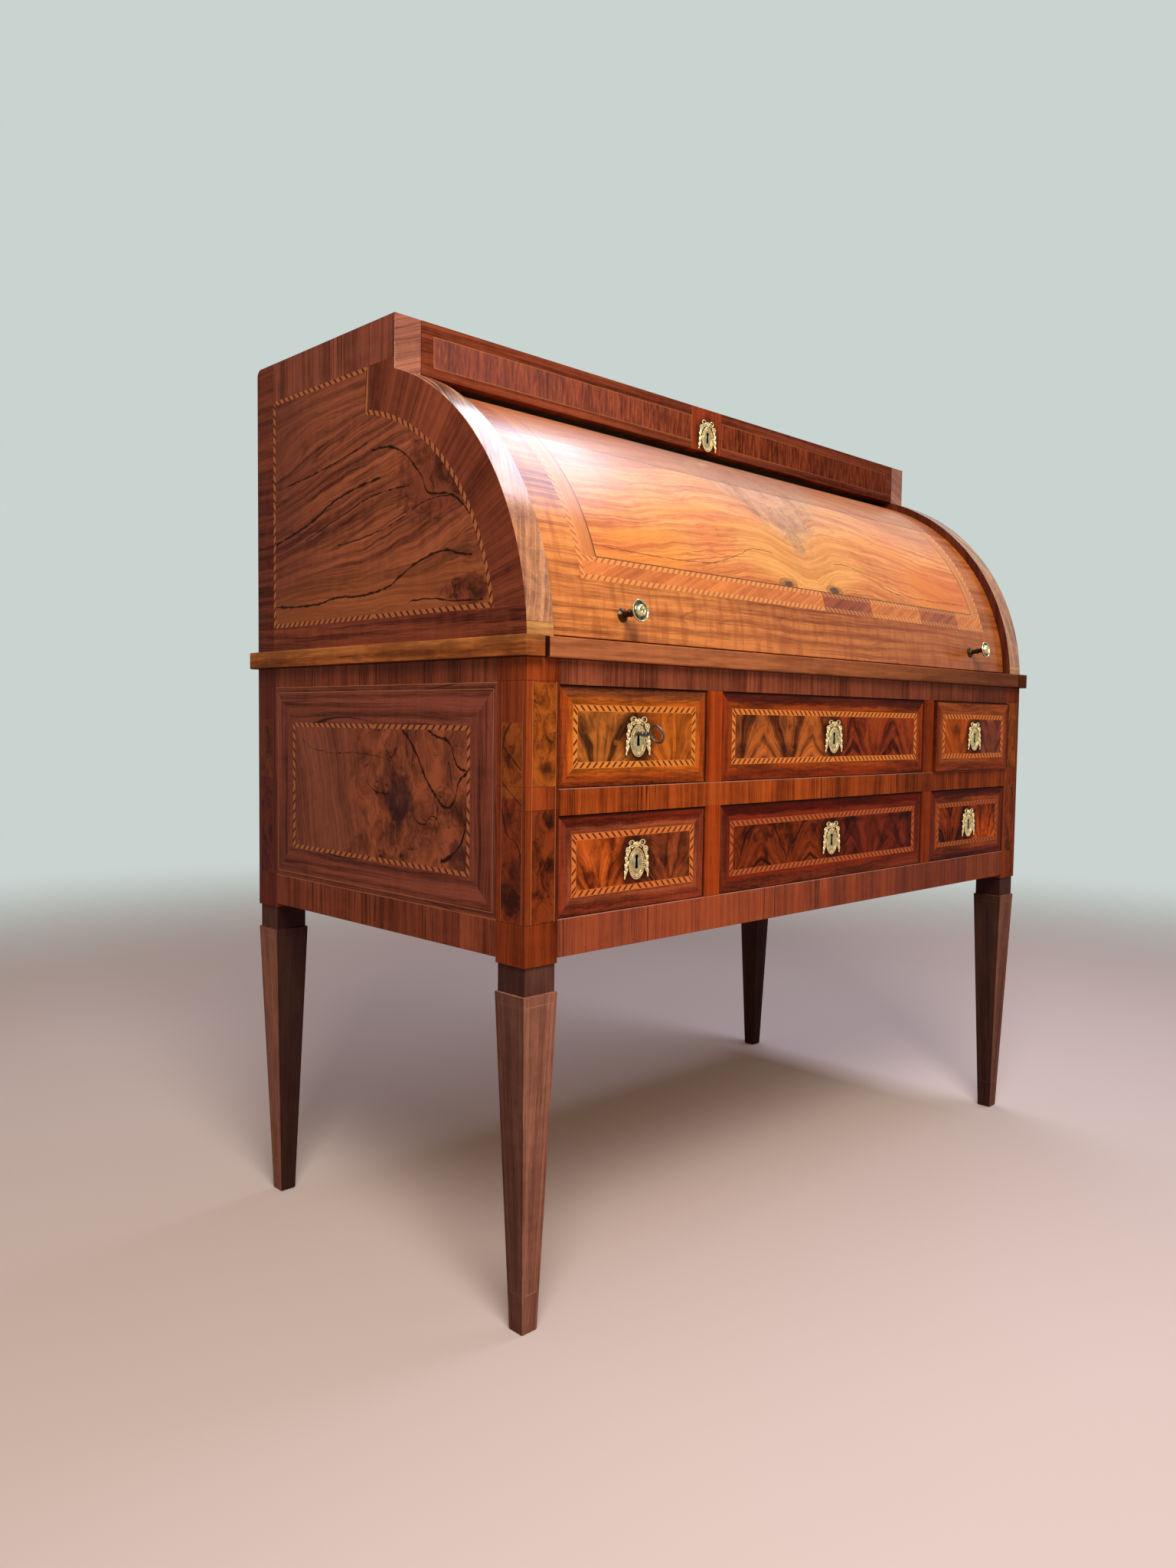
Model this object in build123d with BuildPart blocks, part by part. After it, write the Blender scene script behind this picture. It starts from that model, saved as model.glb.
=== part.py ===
from build123d import *
from math import acos, asin, cos, degrees, radians, sin, sqrt
import os

# Cylinder desk. Millimetres, +Z up, +X to the sitter's right, the drawers face -Y.
# The origin is on the floor under the middle of the whole desk, key included.

# ---------------------------------------------------------------- driving sizes
# Case
case_width = 1200
case_depth = 597
post_width = 50
post_drop = 6
side_thick = 20
back_thick = 12
back_inset = 3
rail_depth = 50
bottom_rail_height = 44
middle_rail_height = 31
top_rail_height = 29
opening_height = 118
middle_opening = 520
divider_width = 30
dust_board_thick = 12
case_top_thick = 15
guide_height = 20

# Legs
leg_height = 398
leg_top_width = 51
leg_foot_width = 23
leg_foot_chamfer = 1.5
neck_height = 33
neck_width = 46

# Moulding at writing height
moulding_height = 24
moulding_reach = 9
moulding_round = 2
corner_block_width = 28
corner_gap = 6

# Upper case
upper_side_thick = 40
arc_radius = 373
pivot_rise = 9
frieze_setback = 252.5
frieze_height = 68
top_thick = 16
top_round = 10
upper_back_thick = 12
bed_thick = 6
bed_clearance = 2

# Cylinder
cylinder_recess = 12
shell_thick = 18
shell_lift = 2.5
shell_end_angle = 76
shell_side_gap = 2
arm_thick = 11
arm_side_gap = 1
arm_low_angle = 15
arm_high_angle = 70
hub_clearance = 0.3
pin_radius = 5
pin_clearance = 0.05
pivot_plate_length = 44
pivot_plate_thick = 1.6
pocket_front = 95
pocket_back = 40

# Knobs of the cylinder
knob_end_margin = 123
knob_angle = 7.7
knob_length = 34
knob_foot_radius = 8.5
knob_foot_height = 1.4
knob_stem_radius = 3.8
knob_ring_radius = 5
knob_ring_height = 14
knob_neck_height = 21
knob_head_radius = 15
knob_head_thick = 2.2
knob_rim_width = 2
knob_dish_depth = 1.4
knob_boss_radius = 7
knob_boss_height = 3.6
knob_eye_radius = 3.4

# Writing slide
slide_gap = 0.5
slide_side_gap = 3
strip_depth = 21
slide_back_gap = 12
leather_thick = 1.2
leather_side_margin = 60
leather_front_margin = 50
leather_length = 270

# Drawers
front_gap = 0.8
front_thick = 20
front_setback = 1.5
proud_drawer = 5
box_play = 1.2
box_lift = 0.3
box_height = 108
box_side_thick = 10
box_bottom_thick = 6
box_bottom_rise = 8
box_back_gap = 15
frieze_front_thick = 18
frieze_box_side = 8
frieze_box_bottom = 4
frieze_box_rise = 2
frieze_mount_rise = 25.5

# Inner fitting
fit_setback = 15
fit_back_gap = 22
fit_height = 238
fit_side_gap = 11
fit_board = 8
fit_back = 5
fit_drawer_height = 70
fit_drawer_count = 3
fit_drawer_front = 8
fit_drawer_side = 5
fit_drawer_bottom = 3
fit_drawer_play = 0.6
pigeonhole_count = 5
scoop_depth = 34

# Escutcheons: a pierced oval in a rim, with a bow above and a leaf garland down each side
plate_thick = 1.6
relief = 1.3
oval_half_width = 14.5
oval_half_height = 19.5
oval_drop = 5
oval_rim_width = 3
rosette_radius = 4.8
rosette_reach = 15.5
rosette_rise = 12.5
leaf_half_width = 3.6
leaf_half_length = 13
leaf_reach = 17.3
leaf_drop = 4
leaf_tip_half_width = 2.8
leaf_tip_half_length = 6
leaf_tip_reach = 19.6
leaf_tip_drop = 17.5
bow_half_width = 4.8
bow_half_height = 3.4
bow_reach = 9.5
bow_rise = 20.8
bow_slope = 20
knot_radius = 4.4
knot_rise = 18.5

# Keyholes: a round eye over a slot that widens downwards
keyhole_rise = 3.4
keyhole_radius = 2.8
keyhole_top_width = 3.2
keyhole_foot_width = 5
keyhole_slot_drop = 14.5
keyhole_depth = 13

# Lock and key of the upper left drawer
lock_width = 52
lock_below_key = 19
lock_depth = 11.5
lock_wall = 1.5
lock_play = 0.3
bolt_width = 16
bolt_thick = 4
bolt_throw = 6.5
bolt_top_gap = 1.5
bolt_play = 0.25
bolt_foot_gap = 4
mortise_margin = 1.5
mortise_depth = 9
key_rest_turn = 20
key_full_turn = 180
key_stem_radius = 2.3
key_bit_reach = 12
key_bit_length = 3
key_bit_thick = 2.2
key_end_gap = 0.6
key_bow_radius = 10.6
key_bow_wire = 1.4
key_bow_reach = 30
key_collar_radius = 3.4
key_collar_length = 5

# The thickness of a glue line keeps each board of a group a solid of its own.
glue = 0.05

# ---------------------------------------------------------------- places worked out
key_reach = key_bow_reach + key_bow_radius + key_bow_wire
front_y = -(case_depth + moulding_reach - key_reach) / 2
back_y = front_y + case_depth
half_width = case_width / 2
post_inner = half_width - post_width
panel_inner = half_width - side_thick
rail_back_y = front_y + rail_depth
rear_post_y = back_y - post_width
lower_back_y = back_y - back_inset - back_thick

post_bottom = leg_height + neck_height
case_bottom = post_bottom + post_drop
lower_opening = case_bottom + bottom_rail_height
middle_rail_bottom = lower_opening + opening_height
upper_opening = middle_rail_bottom + middle_rail_height
top_rail_bottom = upper_opening + opening_height
case_top = top_rail_bottom + top_rail_height
moulding_top = case_top + moulding_height

middle_half = middle_opening / 2
column_inner = middle_half + divider_width

side_inner = half_width - upper_side_thick
pivot_y = front_y + arc_radius
pivot_z = case_top + pivot_rise
frieze_y = front_y + frieze_setback
frieze_bottom = pivot_z + sqrt(arc_radius**2 - (pivot_y - frieze_y) ** 2)
desk_top = frieze_bottom + frieze_height
shell_radius = arc_radius - cylinder_recess
shell_inner_radius = shell_radius - shell_thick
shell_start_angle = degrees(asin((moulding_top + shell_lift - pivot_z) / shell_radius))
shell_half = side_inner - shell_side_gap
arm_outer = shell_half - arm_side_gap
arm_inner = arm_outer - arm_thick
hub_radius = pivot_rise - hub_clearance
bed_bottom = pivot_z + shell_radius + bed_clearance
bed_top = bed_bottom + bed_thick
upper_back_y = back_y - upper_back_thick

slide_half = arm_inner - slide_side_gap
slide_bottom = case_top + slide_gap
slide_top = moulding_top - slide_gap
strip_front_y = front_y - moulding_reach
strip_back_y = strip_front_y + strip_depth
block_inner = half_width + moulding_reach - corner_block_width
strip_half = block_inner - corner_gap
moulding_inner = slide_half + slide_gap
moulding_end_y = back_y + moulding_reach
back_moulding_y = lower_back_y - 5
slide_back_y = back_moulding_y - slide_back_gap

fit_front_y = pivot_y - fit_setback
fit_back_y = upper_back_y - fit_back_gap
fit_half = arm_inner - fit_side_gap
fit_top = moulding_top + fit_height

os.makedirs("parts", exist_ok=True)


def save(piece, name):
    """Give a finished piece its name and write it as one STEP file."""
    piece.part.label = name
    export_step(piece.part, f"parts/{name}.step")


def board(x, y, z):
    """A squared board between its low and high X, Y and Z, in the part being built."""
    with Locations((x[0], y[0], z[0])):
        Box(x[1] - x[0], y[1] - y[0], z[1] - z[0], align=(Align.MIN, Align.MIN, Align.MIN))


# ---------------------------------------------------------------- legs and lower case
# Each leg is a square shaft that tapers to the floor, under a plain narrower neck.
leg_centre = half_width - leg_top_width / 2
for depth_name, leg_y in (
    ("front", front_y + leg_top_width / 2),
    ("back", back_y - leg_top_width / 2),
):
    for side_name, side in (("left", -1), ("right", 1)):
        with BuildPart() as leg:
            with BuildSketch(Plane.XY):
                with Locations((side * leg_centre, leg_y)):
                    Rectangle(leg_foot_width, leg_foot_width)
            with BuildSketch(Plane.XY.offset(leg_height)):
                with Locations((side * leg_centre, leg_y)):
                    Rectangle(leg_top_width, leg_top_width)
            loft()
            chamfer(leg.faces().sort_by(Axis.Z)[0].edges(), leg_foot_chamfer)
            with BuildSketch(Plane.XY.offset(leg_height)):
                with Locations((side * leg_centre, leg_y)):
                    Rectangle(neck_width, neck_width)
            extrude(amount=neck_height)
        save(leg, f"leg_{depth_name}_{side_name}")

for name, post_y in (("front_posts", front_y), ("back_posts", rear_post_y)):
    with BuildPart() as posts:
        for x in ((-half_width, -post_inner), (post_inner, half_width)):
            board(x, (post_y, post_y + post_width), (post_bottom, case_top))
    save(posts, name)

for side_name, x in (
    ("left", (-half_width, -panel_inner)),
    ("right", (panel_inner, half_width)),
):
    with BuildPart() as lower_side:
        board(x, (front_y + post_width, rear_post_y), (case_bottom, case_top))
    save(lower_side, f"lower_side_{side_name}")

with BuildPart() as lower_back:
    board(
        (-post_inner, post_inner),
        (lower_back_y, lower_back_y + back_thick),
        (case_bottom, case_top),
    )
save(lower_back, "lower_back")

with BuildPart() as bottom_rail:
    board((-post_inner, post_inner), (front_y, rail_back_y), (case_bottom, lower_opening))
save(bottom_rail, "bottom_rail")

with BuildPart() as middle_rail:
    board((-post_inner, post_inner), (front_y, rail_back_y), (middle_rail_bottom, upper_opening))
save(middle_rail, "middle_rail")

# Four short uprights part each row into three drawers.
with BuildPart() as drawer_dividers:
    for bottom in (lower_opening, upper_opening):
        for x in ((-column_inner, -middle_half), (middle_half, column_inner)):
            board(x, (front_y, rail_back_y), (bottom, bottom + opening_height))
save(drawer_dividers, "drawer_dividers")

# The boards behind the rails are cut back round the two rear posts.
with BuildSketch() as notched_plan:
    with BuildLine():
        Polyline(
            (-panel_inner, rail_back_y),
            (panel_inner, rail_back_y),
            (panel_inner, rear_post_y),
            (post_inner, rear_post_y),
            (post_inner, lower_back_y),
            (-post_inner, lower_back_y),
            (-post_inner, rear_post_y),
            (-panel_inner, rear_post_y),
            (-panel_inner, rail_back_y),
        )
    make_face()

# The drawers run on a bottom board and on a dust board between the rows.
with BuildPart() as dust_boards:
    for top in (lower_opening, upper_opening):
        with BuildSketch(Plane.XY.offset(top - dust_board_thick)):
            add(notched_plan.sketch)
        extrude(amount=dust_board_thick)
save(dust_boards, "dust_boards")

# The writing slide runs on the board that closes the lower case.
with BuildPart() as case_board:
    with BuildSketch(Plane.XY.offset(case_top - case_top_thick)):
        add(notched_plan.sketch)
    extrude(amount=case_top_thick)
save(case_board, "case_board")

# Strips on the boards keep each drawer in line behind its divider and beside the posts.
with BuildPart() as drawer_guides:
    for bottom in (lower_opening, upper_opening):
        for x in (
            (-panel_inner, -post_inner),
            (-column_inner, -middle_half),
            (middle_half, column_inner),
            (post_inner, panel_inner),
        ):
            board(x, (rail_back_y, rear_post_y), (bottom, bottom + guide_height))
save(drawer_guides, "drawer_guides")

# ---------------------------------------------------------------- moulding at writing height
# Each side board reaches in to guide the slide, with a pocket where the cylinder's arm turns.
with BuildPart() as waist_moulding:
    for side in (-1, 1):
        with BuildSketch(Plane.XY.offset(case_top)):
            with BuildLine():
                Polyline(
                    (side * (half_width + moulding_reach), strip_front_y),
                    (side * (half_width + moulding_reach), moulding_end_y),
                    (side * moulding_inner, moulding_end_y),
                    (side * moulding_inner, pivot_y + pocket_back),
                    (side * side_inner, pivot_y + pocket_back),
                    (side * side_inner, pivot_y - pocket_front),
                    (side * moulding_inner, pivot_y - pocket_front),
                    (side * moulding_inner, strip_back_y + slide_gap),
                    (side * block_inner, strip_back_y + slide_gap),
                    (side * block_inner, strip_front_y),
                    (side * (half_width + moulding_reach), strip_front_y),
                )
            make_face()
        extrude(amount=moulding_height)
    outer_edges = waist_moulding.faces().filter_by(Axis.X).sort_by(Axis.X)
    rounded = outer_edges[0].edges().filter_by(Axis.Y) + outer_edges[-1].edges().filter_by(Axis.Y)
    fillet(rounded, moulding_round)
    board(
        (-moulding_inner + glue, moulding_inner - glue),
        (back_moulding_y, moulding_end_y),
        (case_top, moulding_top),
    )
save(waist_moulding, "waist_moulding")

# An iron plate in each pocket carries the pin on which the cylinder turns.
with BuildPart() as pivot_pins:
    for side in (-1, 1):
        with BuildSketch(Plane.YZ.offset(side * side_inner)):
            with Locations((pivot_y, pivot_z)):
                Rectangle(pivot_plate_length, 2 * hub_radius)
        extrude(amount=-side * pivot_plate_thick)
        with BuildSketch(Plane.YZ.offset(side * arm_inner)):
            with Locations((pivot_y, pivot_z)):
                Circle(pin_radius)
        extrude(amount=side * (side_inner - pivot_plate_thick - arm_inner))
save(pivot_pins, "pivot_pins")

# ---------------------------------------------------------------- upper case
# The side's front edge is an arc about the pivot, up to the frieze, then upright.
arc_start = degrees(acos((pivot_y - frieze_y) / arc_radius))
arc_end = degrees(asin((moulding_top - pivot_z) / arc_radius))
with BuildSketch(Plane.YZ) as side_outline:
    with BuildLine():
        front_arc = CenterArc(
            (pivot_y, pivot_z), arc_radius, 180 - arc_start, arc_start - arc_end
        )
        Polyline(
            front_arc @ 1,
            (back_y, moulding_top),
            (back_y, desk_top),
            (frieze_y, desk_top),
            front_arc @ 0,
        )
    make_face()
    fillet(side_outline.vertices().group_by(Axis.Y)[-1].sort_by(Axis.X)[-1], top_round)

for side_name, x in (("left", -half_width), ("right", side_inner)):
    with BuildPart() as upper_side:
        with BuildSketch(Plane.YZ.offset(x)):
            add(side_outline.sketch_local)
        extrude(amount=upper_side_thick)
    save(upper_side, f"upper_side_{side_name}")

with BuildPart() as upper_back:
    board(
        (-side_inner, side_inner),
        (upper_back_y, back_y),
        (moulding_top, desk_top - top_thick),
    )
save(upper_back, "upper_back")

# The top lies between the sides, behind the full height of the frieze drawer's front.
top_front_y = frieze_y + frieze_front_thick + front_gap
with BuildPart() as top_board:
    board((-side_inner, side_inner), (top_front_y, back_y), (desk_top - top_thick, desk_top))
    fillet(
        top_board.edges().filter_by(Axis.X).group_by(Axis.Z)[-1].sort_by(Axis.Y)[-1], top_round
    )
save(top_board, "top_board")

# A thin bed over the cylinder's path carries the frieze drawer.
with BuildPart() as frieze_bed:
    board((-side_inner, side_inner), (top_front_y, upper_back_y), (bed_bottom, bed_top))
save(frieze_bed, "frieze_bed")

# ---------------------------------------------------------------- cylinder
# The lid is a curved shell about the pivot; its arms stand inside it at the two ends.
with BuildPart() as cylinder_shell:
    with BuildSketch(Plane.YZ):
        with BuildLine():
            sweep_angle = shell_end_angle - shell_start_angle
            outer = CenterArc((pivot_y, pivot_z), shell_radius, 180 - shell_end_angle, sweep_angle)
            inner = CenterArc(
                (pivot_y, pivot_z), shell_inner_radius, 180 - shell_end_angle, sweep_angle
            )
            Line(outer @ 0, inner @ 0)
            Line(outer @ 1, inner @ 1)
        make_face()
    extrude(amount=shell_half, both=True)
save(cylinder_shell, "cylinder_shell")

# Each arm is a quadrant board that narrows to the eye round its pin.
for side_name, x in (("left", -arm_outer), ("right", arm_inner)):
    with BuildPart() as arm:
        with BuildSketch(Plane.YZ.offset(x)):
            with BuildLine():
                CenterArc(
                    (pivot_y, pivot_z),
                    shell_inner_radius - glue,
                    180 - arm_high_angle,
                    arm_high_angle - arm_low_angle,
                )
                CenterArc((pivot_y, pivot_z), hub_radius, 0, 360)
            make_hull()
            with Locations((pivot_y, pivot_z)):
                Circle(pin_radius + pin_clearance, mode=Mode.SUBTRACT)
        extrude(amount=arm_thick)
    save(arm, f"cylinder_arm_{side_name}")

# A turned knob: a spread foot, a ringed stem and a dished head round a hollow boss.
knob_out = Vector(0, -cos(radians(knob_angle)), sin(radians(knob_angle)))
for side_name, side in (("left", -1), ("right", 1)):
    knob_x = side * (shell_half - knob_end_margin)
    seat = Vector(knob_x, pivot_y, pivot_z) + knob_out * shell_radius
    knob_plane = Plane(origin=seat, x_dir=(1, 0, 0), z_dir=knob_out)
    with BuildPart() as knob:
        with BuildSketch(Plane(origin=seat, x_dir=(1, 0, 0), z_dir=-knob_plane.y_dir)):
            with BuildLine():
                head_back = knob_length - knob_boss_height
                Polyline((0, 0), (knob_foot_radius, 0), (knob_foot_radius, knob_foot_height))
                foot = TangentArc(
                    (knob_foot_radius, knob_foot_height),
                    (knob_stem_radius, knob_ring_height - knob_ring_radius / 3),
                    tangent=(-1, 0.25),
                )
                ring = ThreePointArc(
                    foot @ 1,
                    (knob_ring_radius, knob_ring_height),
                    (knob_stem_radius, knob_ring_height + knob_ring_radius / 3),
                )
                stem = Line(ring @ 1, (knob_stem_radius, knob_neck_height))
                neck = TangentArc(
                    stem @ 1,
                    (knob_head_radius, head_back - knob_head_thick),
                    tangent=(0, 1),
                )
                Polyline(
                    neck @ 1,
                    (knob_head_radius, head_back),
                    (knob_head_radius - knob_rim_width, head_back),
                    (knob_boss_radius, head_back - knob_dish_depth),
                )
                boss = ThreePointArc(
                    (knob_boss_radius, head_back - knob_dish_depth),
                    ((knob_boss_radius + knob_eye_radius) / 2, knob_length),
                    (knob_eye_radius, head_back),
                )
                Polyline(boss @ 1, (0, head_back), (0, 0))
            make_face()
        revolve(axis=Axis(seat, knob_out))
    save(knob, f"knob_{side_name}")

# ---------------------------------------------------------------- writing slide
# A full board slides under the inner fitting and carries a moulded strip and a leather.
leather_y = (strip_back_y + leather_front_margin, strip_back_y + leather_front_margin + leather_length)
leather_half = slide_half - leather_side_margin
with BuildPart() as slide_board:
    board(
        (-slide_half, slide_half), (strip_back_y + glue, slide_back_y), (slide_bottom, slide_top)
    )
    with BuildSketch(Plane.XY.offset(slide_top)):
        with Locations((0, sum(leather_y) / 2)):
            Rectangle(2 * leather_half, leather_length)
    extrude(amount=-leather_thick, mode=Mode.SUBTRACT)
save(slide_board, "slide_board")

with BuildPart() as writing_leather:
    board(
        (-leather_half + glue, leather_half - glue),
        (leather_y[0] + glue, leather_y[1] - glue),
        (slide_top - leather_thick, slide_top),
    )
save(writing_leather, "writing_leather")

with BuildPart() as slide_strip:
    board((-strip_half, strip_half), (strip_front_y, strip_back_y), (slide_bottom, slide_top))
    fillet(slide_strip.faces().sort_by(Axis.Y)[0].edges().filter_by(Axis.X), moulding_round)
save(slide_strip, "slide_strip")


# ---------------------------------------------------------------- escutcheons and keyholes
def keyhole_outline():
    """The outline of a keyhole about the centre of its eye."""
    with BuildSketch() as outline:
        Circle(keyhole_radius)
        with BuildLine():
            Polyline(
                (-keyhole_top_width / 2, 0),
                (keyhole_top_width / 2, 0),
                (keyhole_foot_width / 2, -keyhole_slot_drop),
                (-keyhole_foot_width / 2, -keyhole_slot_drop),
                (-keyhole_top_width / 2, 0),
            )
        make_face()
    return outline.sketch


def front_plane(x, y, z):
    """A plane that faces the sitter, with its own X along the desk and its own Y up."""
    return Plane(origin=(x, y, z), x_dir=(1, 0, 0), z_dir=(0, -1, 0))


def make_escutcheon(x, y, z, name):
    """Cast the keyhole plate that lies on the front at y about the point x, z."""
    with BuildPart() as escutcheon:
        with BuildSketch(front_plane(x, y, z)):
            with Locations((0, -oval_drop)):
                Ellipse(oval_half_width, oval_half_height)
            with Locations((0, knot_rise)):
                Circle(knot_radius)
            for side in (-1, 1):
                with Locations((side * rosette_reach, rosette_rise)):
                    Circle(rosette_radius)
                with Locations((side * leaf_reach, -leaf_drop)):
                    Ellipse(leaf_half_width, leaf_half_length)
                with Locations((side * leaf_tip_reach, -leaf_tip_drop)):
                    Ellipse(leaf_tip_half_width, leaf_tip_half_length)
                with Locations(Location((side * bow_reach, bow_rise), side * bow_slope)):
                    Ellipse(bow_half_width, bow_half_height)
                with Locations(Location((side * bow_reach, (bow_rise + rosette_rise) / 2))):
                    Circle(rosette_radius)
        extrude(amount=plate_thick)
        with BuildSketch(front_plane(x, y - plate_thick, z)):
            with Locations((0, -oval_drop)):
                Ellipse(oval_half_width, oval_half_height)
                Ellipse(
                    oval_half_width - oval_rim_width,
                    oval_half_height - oval_rim_width,
                    mode=Mode.SUBTRACT,
                )
        extrude(amount=relief)
        with BuildSketch(front_plane(x, y, z + keyhole_rise)):
            add(keyhole_outline())
        extrude(amount=plate_thick, mode=Mode.SUBTRACT)
    save(escutcheon, name)


# ---------------------------------------------------------------- drawers
lock_x = -(column_inner + (post_inner - column_inner) / 2)
lock_z = upper_opening + opening_height / 2 + keyhole_rise
lock_bottom = lock_z - lock_below_key
front_top = top_rail_bottom - front_gap
rows = {"top": upper_opening, "bottom": lower_opening}
columns = {
    "left": (-post_inner, -column_inner),
    "middle": (-middle_half, middle_half),
    "right": (column_inner, post_inner),
}
lock_front_y = front_y + front_setback
lock_back_y = lock_front_y + front_thick
lock_face_y = lock_back_y - lock_depth

for row, opening_bottom in rows.items():
    for column, (low_x, high_x) in columns.items():
        place = f"{row}_{column}"
        face_y = front_y + front_setback
        if place == "top_right":
            face_y = front_y - proud_drawer
        rear_y = face_y + front_thick
        middle_x = (low_x + high_x) / 2
        middle_z = opening_bottom + opening_height / 2

        with BuildPart() as drawer_front:
            board(
                (low_x + front_gap, high_x - front_gap),
                (face_y, rear_y),
                (opening_bottom + front_gap, opening_bottom + opening_height - front_gap),
            )
            with BuildSketch(front_plane(middle_x, face_y, middle_z + keyhole_rise)):
                add(keyhole_outline())
            extrude(amount=-keyhole_depth, mode=Mode.SUBTRACT)
            if place == "top_left":
                with BuildSketch(front_plane(lock_x, lock_back_y, 0)):
                    with Locations((0, (lock_bottom + front_top) / 2)):
                        Rectangle(lock_width + 2 * lock_play, front_top - lock_bottom)
                extrude(amount=lock_depth + lock_play, mode=Mode.SUBTRACT)
        save(drawer_front, f"drawer_front_{place}")

        # Two sides, a back between them over the bottom, and the bottom between the sides.
        box_low = opening_bottom + box_lift
        box_back_y = lower_back_y - box_back_gap + rear_y - lock_back_y
        inner_x = (low_x + box_play + box_side_thick, high_x - box_play - box_side_thick)
        bottom_z = (box_low + box_bottom_rise, box_low + box_bottom_rise + box_bottom_thick)
        with BuildPart() as drawer_box:
            for x in ((low_x + box_play, inner_x[0]), (inner_x[1], high_x - box_play)):
                board(x, (rear_y + glue, box_back_y), (box_low, box_low + box_height))
            board(
                (inner_x[0] + glue, inner_x[1] - glue), (rear_y + glue, box_back_y), bottom_z
            )
            board(
                (inner_x[0] + glue, inner_x[1] - glue),
                (box_back_y - box_side_thick, box_back_y),
                (bottom_z[1] + glue, box_low + box_height),
            )
        save(drawer_box, f"drawer_box_{place}")
        make_escutcheon(middle_x, face_y, middle_z, f"escutcheon_{place}")

# One long shallow drawer fills the frieze.
frieze_back_y = upper_back_y - box_back_gap
frieze_front_half = side_inner - front_gap
with BuildPart() as frieze_front:
    board(
        (-frieze_front_half, frieze_front_half),
        (frieze_y, frieze_y + frieze_front_thick),
        (frieze_bottom + front_gap, desk_top - glue),
    )
    with BuildSketch(
        front_plane(0, frieze_y, frieze_bottom + frieze_mount_rise + keyhole_rise)
    ):
        add(keyhole_outline())
    extrude(amount=-keyhole_depth, mode=Mode.SUBTRACT)
save(frieze_front, "frieze_drawer_front")

frieze_inner = frieze_front_half - frieze_box_side
frieze_low = bed_top + box_lift
frieze_high = desk_top - top_thick - front_gap
frieze_rear_y = frieze_y + frieze_front_thick + glue
frieze_floor = (frieze_low + frieze_box_rise, frieze_low + frieze_box_rise + frieze_box_bottom)
with BuildPart() as frieze_box:
    for x in ((-frieze_front_half, -frieze_inner), (frieze_inner, frieze_front_half)):
        board(x, (frieze_rear_y, frieze_back_y), (frieze_low, frieze_high))
    board((-frieze_inner + glue, frieze_inner - glue), (frieze_rear_y, frieze_back_y), frieze_floor)
    board(
        (-frieze_inner + glue, frieze_inner - glue),
        (frieze_back_y - frieze_box_side, frieze_back_y),
        (frieze_floor[1] + glue, frieze_high),
    )
save(frieze_box, "frieze_drawer_box")
make_escutcheon(0, frieze_y, frieze_bottom + frieze_mount_rise, "escutcheon_frieze")

# ---------------------------------------------------------------- lock, bolt and key
# The lock is an open-faced iron case let into the back of the front, up to its top edge.
bolt_top = front_top - bolt_top_gap - lock_wall
bolt_rest = bolt_throw * key_rest_turn / key_full_turn
bolt_y = (lock_face_y + lock_play, lock_face_y + lock_play + bolt_thick)
with BuildPart() as lock_case:
    board(
        (lock_x - lock_width / 2, lock_x + lock_width / 2),
        (lock_face_y, lock_back_y - glue),
        (lock_bottom + lock_play, front_top - bolt_top_gap),
    )
    with BuildSketch(front_plane(lock_x, lock_face_y, 0)):
        with Locations((0, (lock_bottom + front_top - bolt_top_gap + lock_play) / 2)):
            Rectangle(
                lock_width - 2 * lock_wall,
                front_top - bolt_top_gap - lock_bottom - lock_play - 2 * lock_wall,
            )
    extrude(amount=-(lock_depth - glue - lock_wall), mode=Mode.SUBTRACT)
    with BuildSketch(Plane.XY.offset(front_top - bolt_top_gap)):
        with Locations((lock_x, sum(bolt_y) / 2)):
            Rectangle(bolt_width + 2 * bolt_play, bolt_thick + 2 * bolt_play)
    extrude(amount=-2 * lock_wall, mode=Mode.SUBTRACT)
save(lock_case, "lock_case")

# The flat bolt straddles the key's stem and rises into a mortise in the rail above.
with BuildPart() as lock_bolt:
    board(
        (lock_x - bolt_width / 2, lock_x + bolt_width / 2),
        bolt_y,
        (lock_bottom + bolt_foot_gap + bolt_rest, bolt_top + lock_wall + bolt_rest),
    )
    slot_low = lock_z + bolt_rest - bolt_throw - key_stem_radius - bolt_play
    slot_high = lock_z + bolt_rest + key_stem_radius + bolt_play
    with BuildSketch(front_plane(lock_x, bolt_y[0], 0)):
        with Locations((0, (slot_low + slot_high) / 2)):
            SlotOverall(slot_high - slot_low, 2 * (key_stem_radius + bolt_play), rotation=90)
    extrude(amount=-bolt_thick, mode=Mode.SUBTRACT)
save(lock_bolt, "lock_bolt")

with BuildPart() as top_rail:
    board((-post_inner, post_inner), (front_y, rail_back_y), (top_rail_bottom, case_top))
    with BuildSketch(Plane.XY.offset(top_rail_bottom)):
        with Locations((lock_x, sum(bolt_y) / 2)):
            Rectangle(bolt_width + 2 * mortise_margin, bolt_thick + 2 * mortise_margin)
    extrude(amount=mortise_depth, mode=Mode.SUBTRACT)
save(top_rail, "top_rail")

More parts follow.
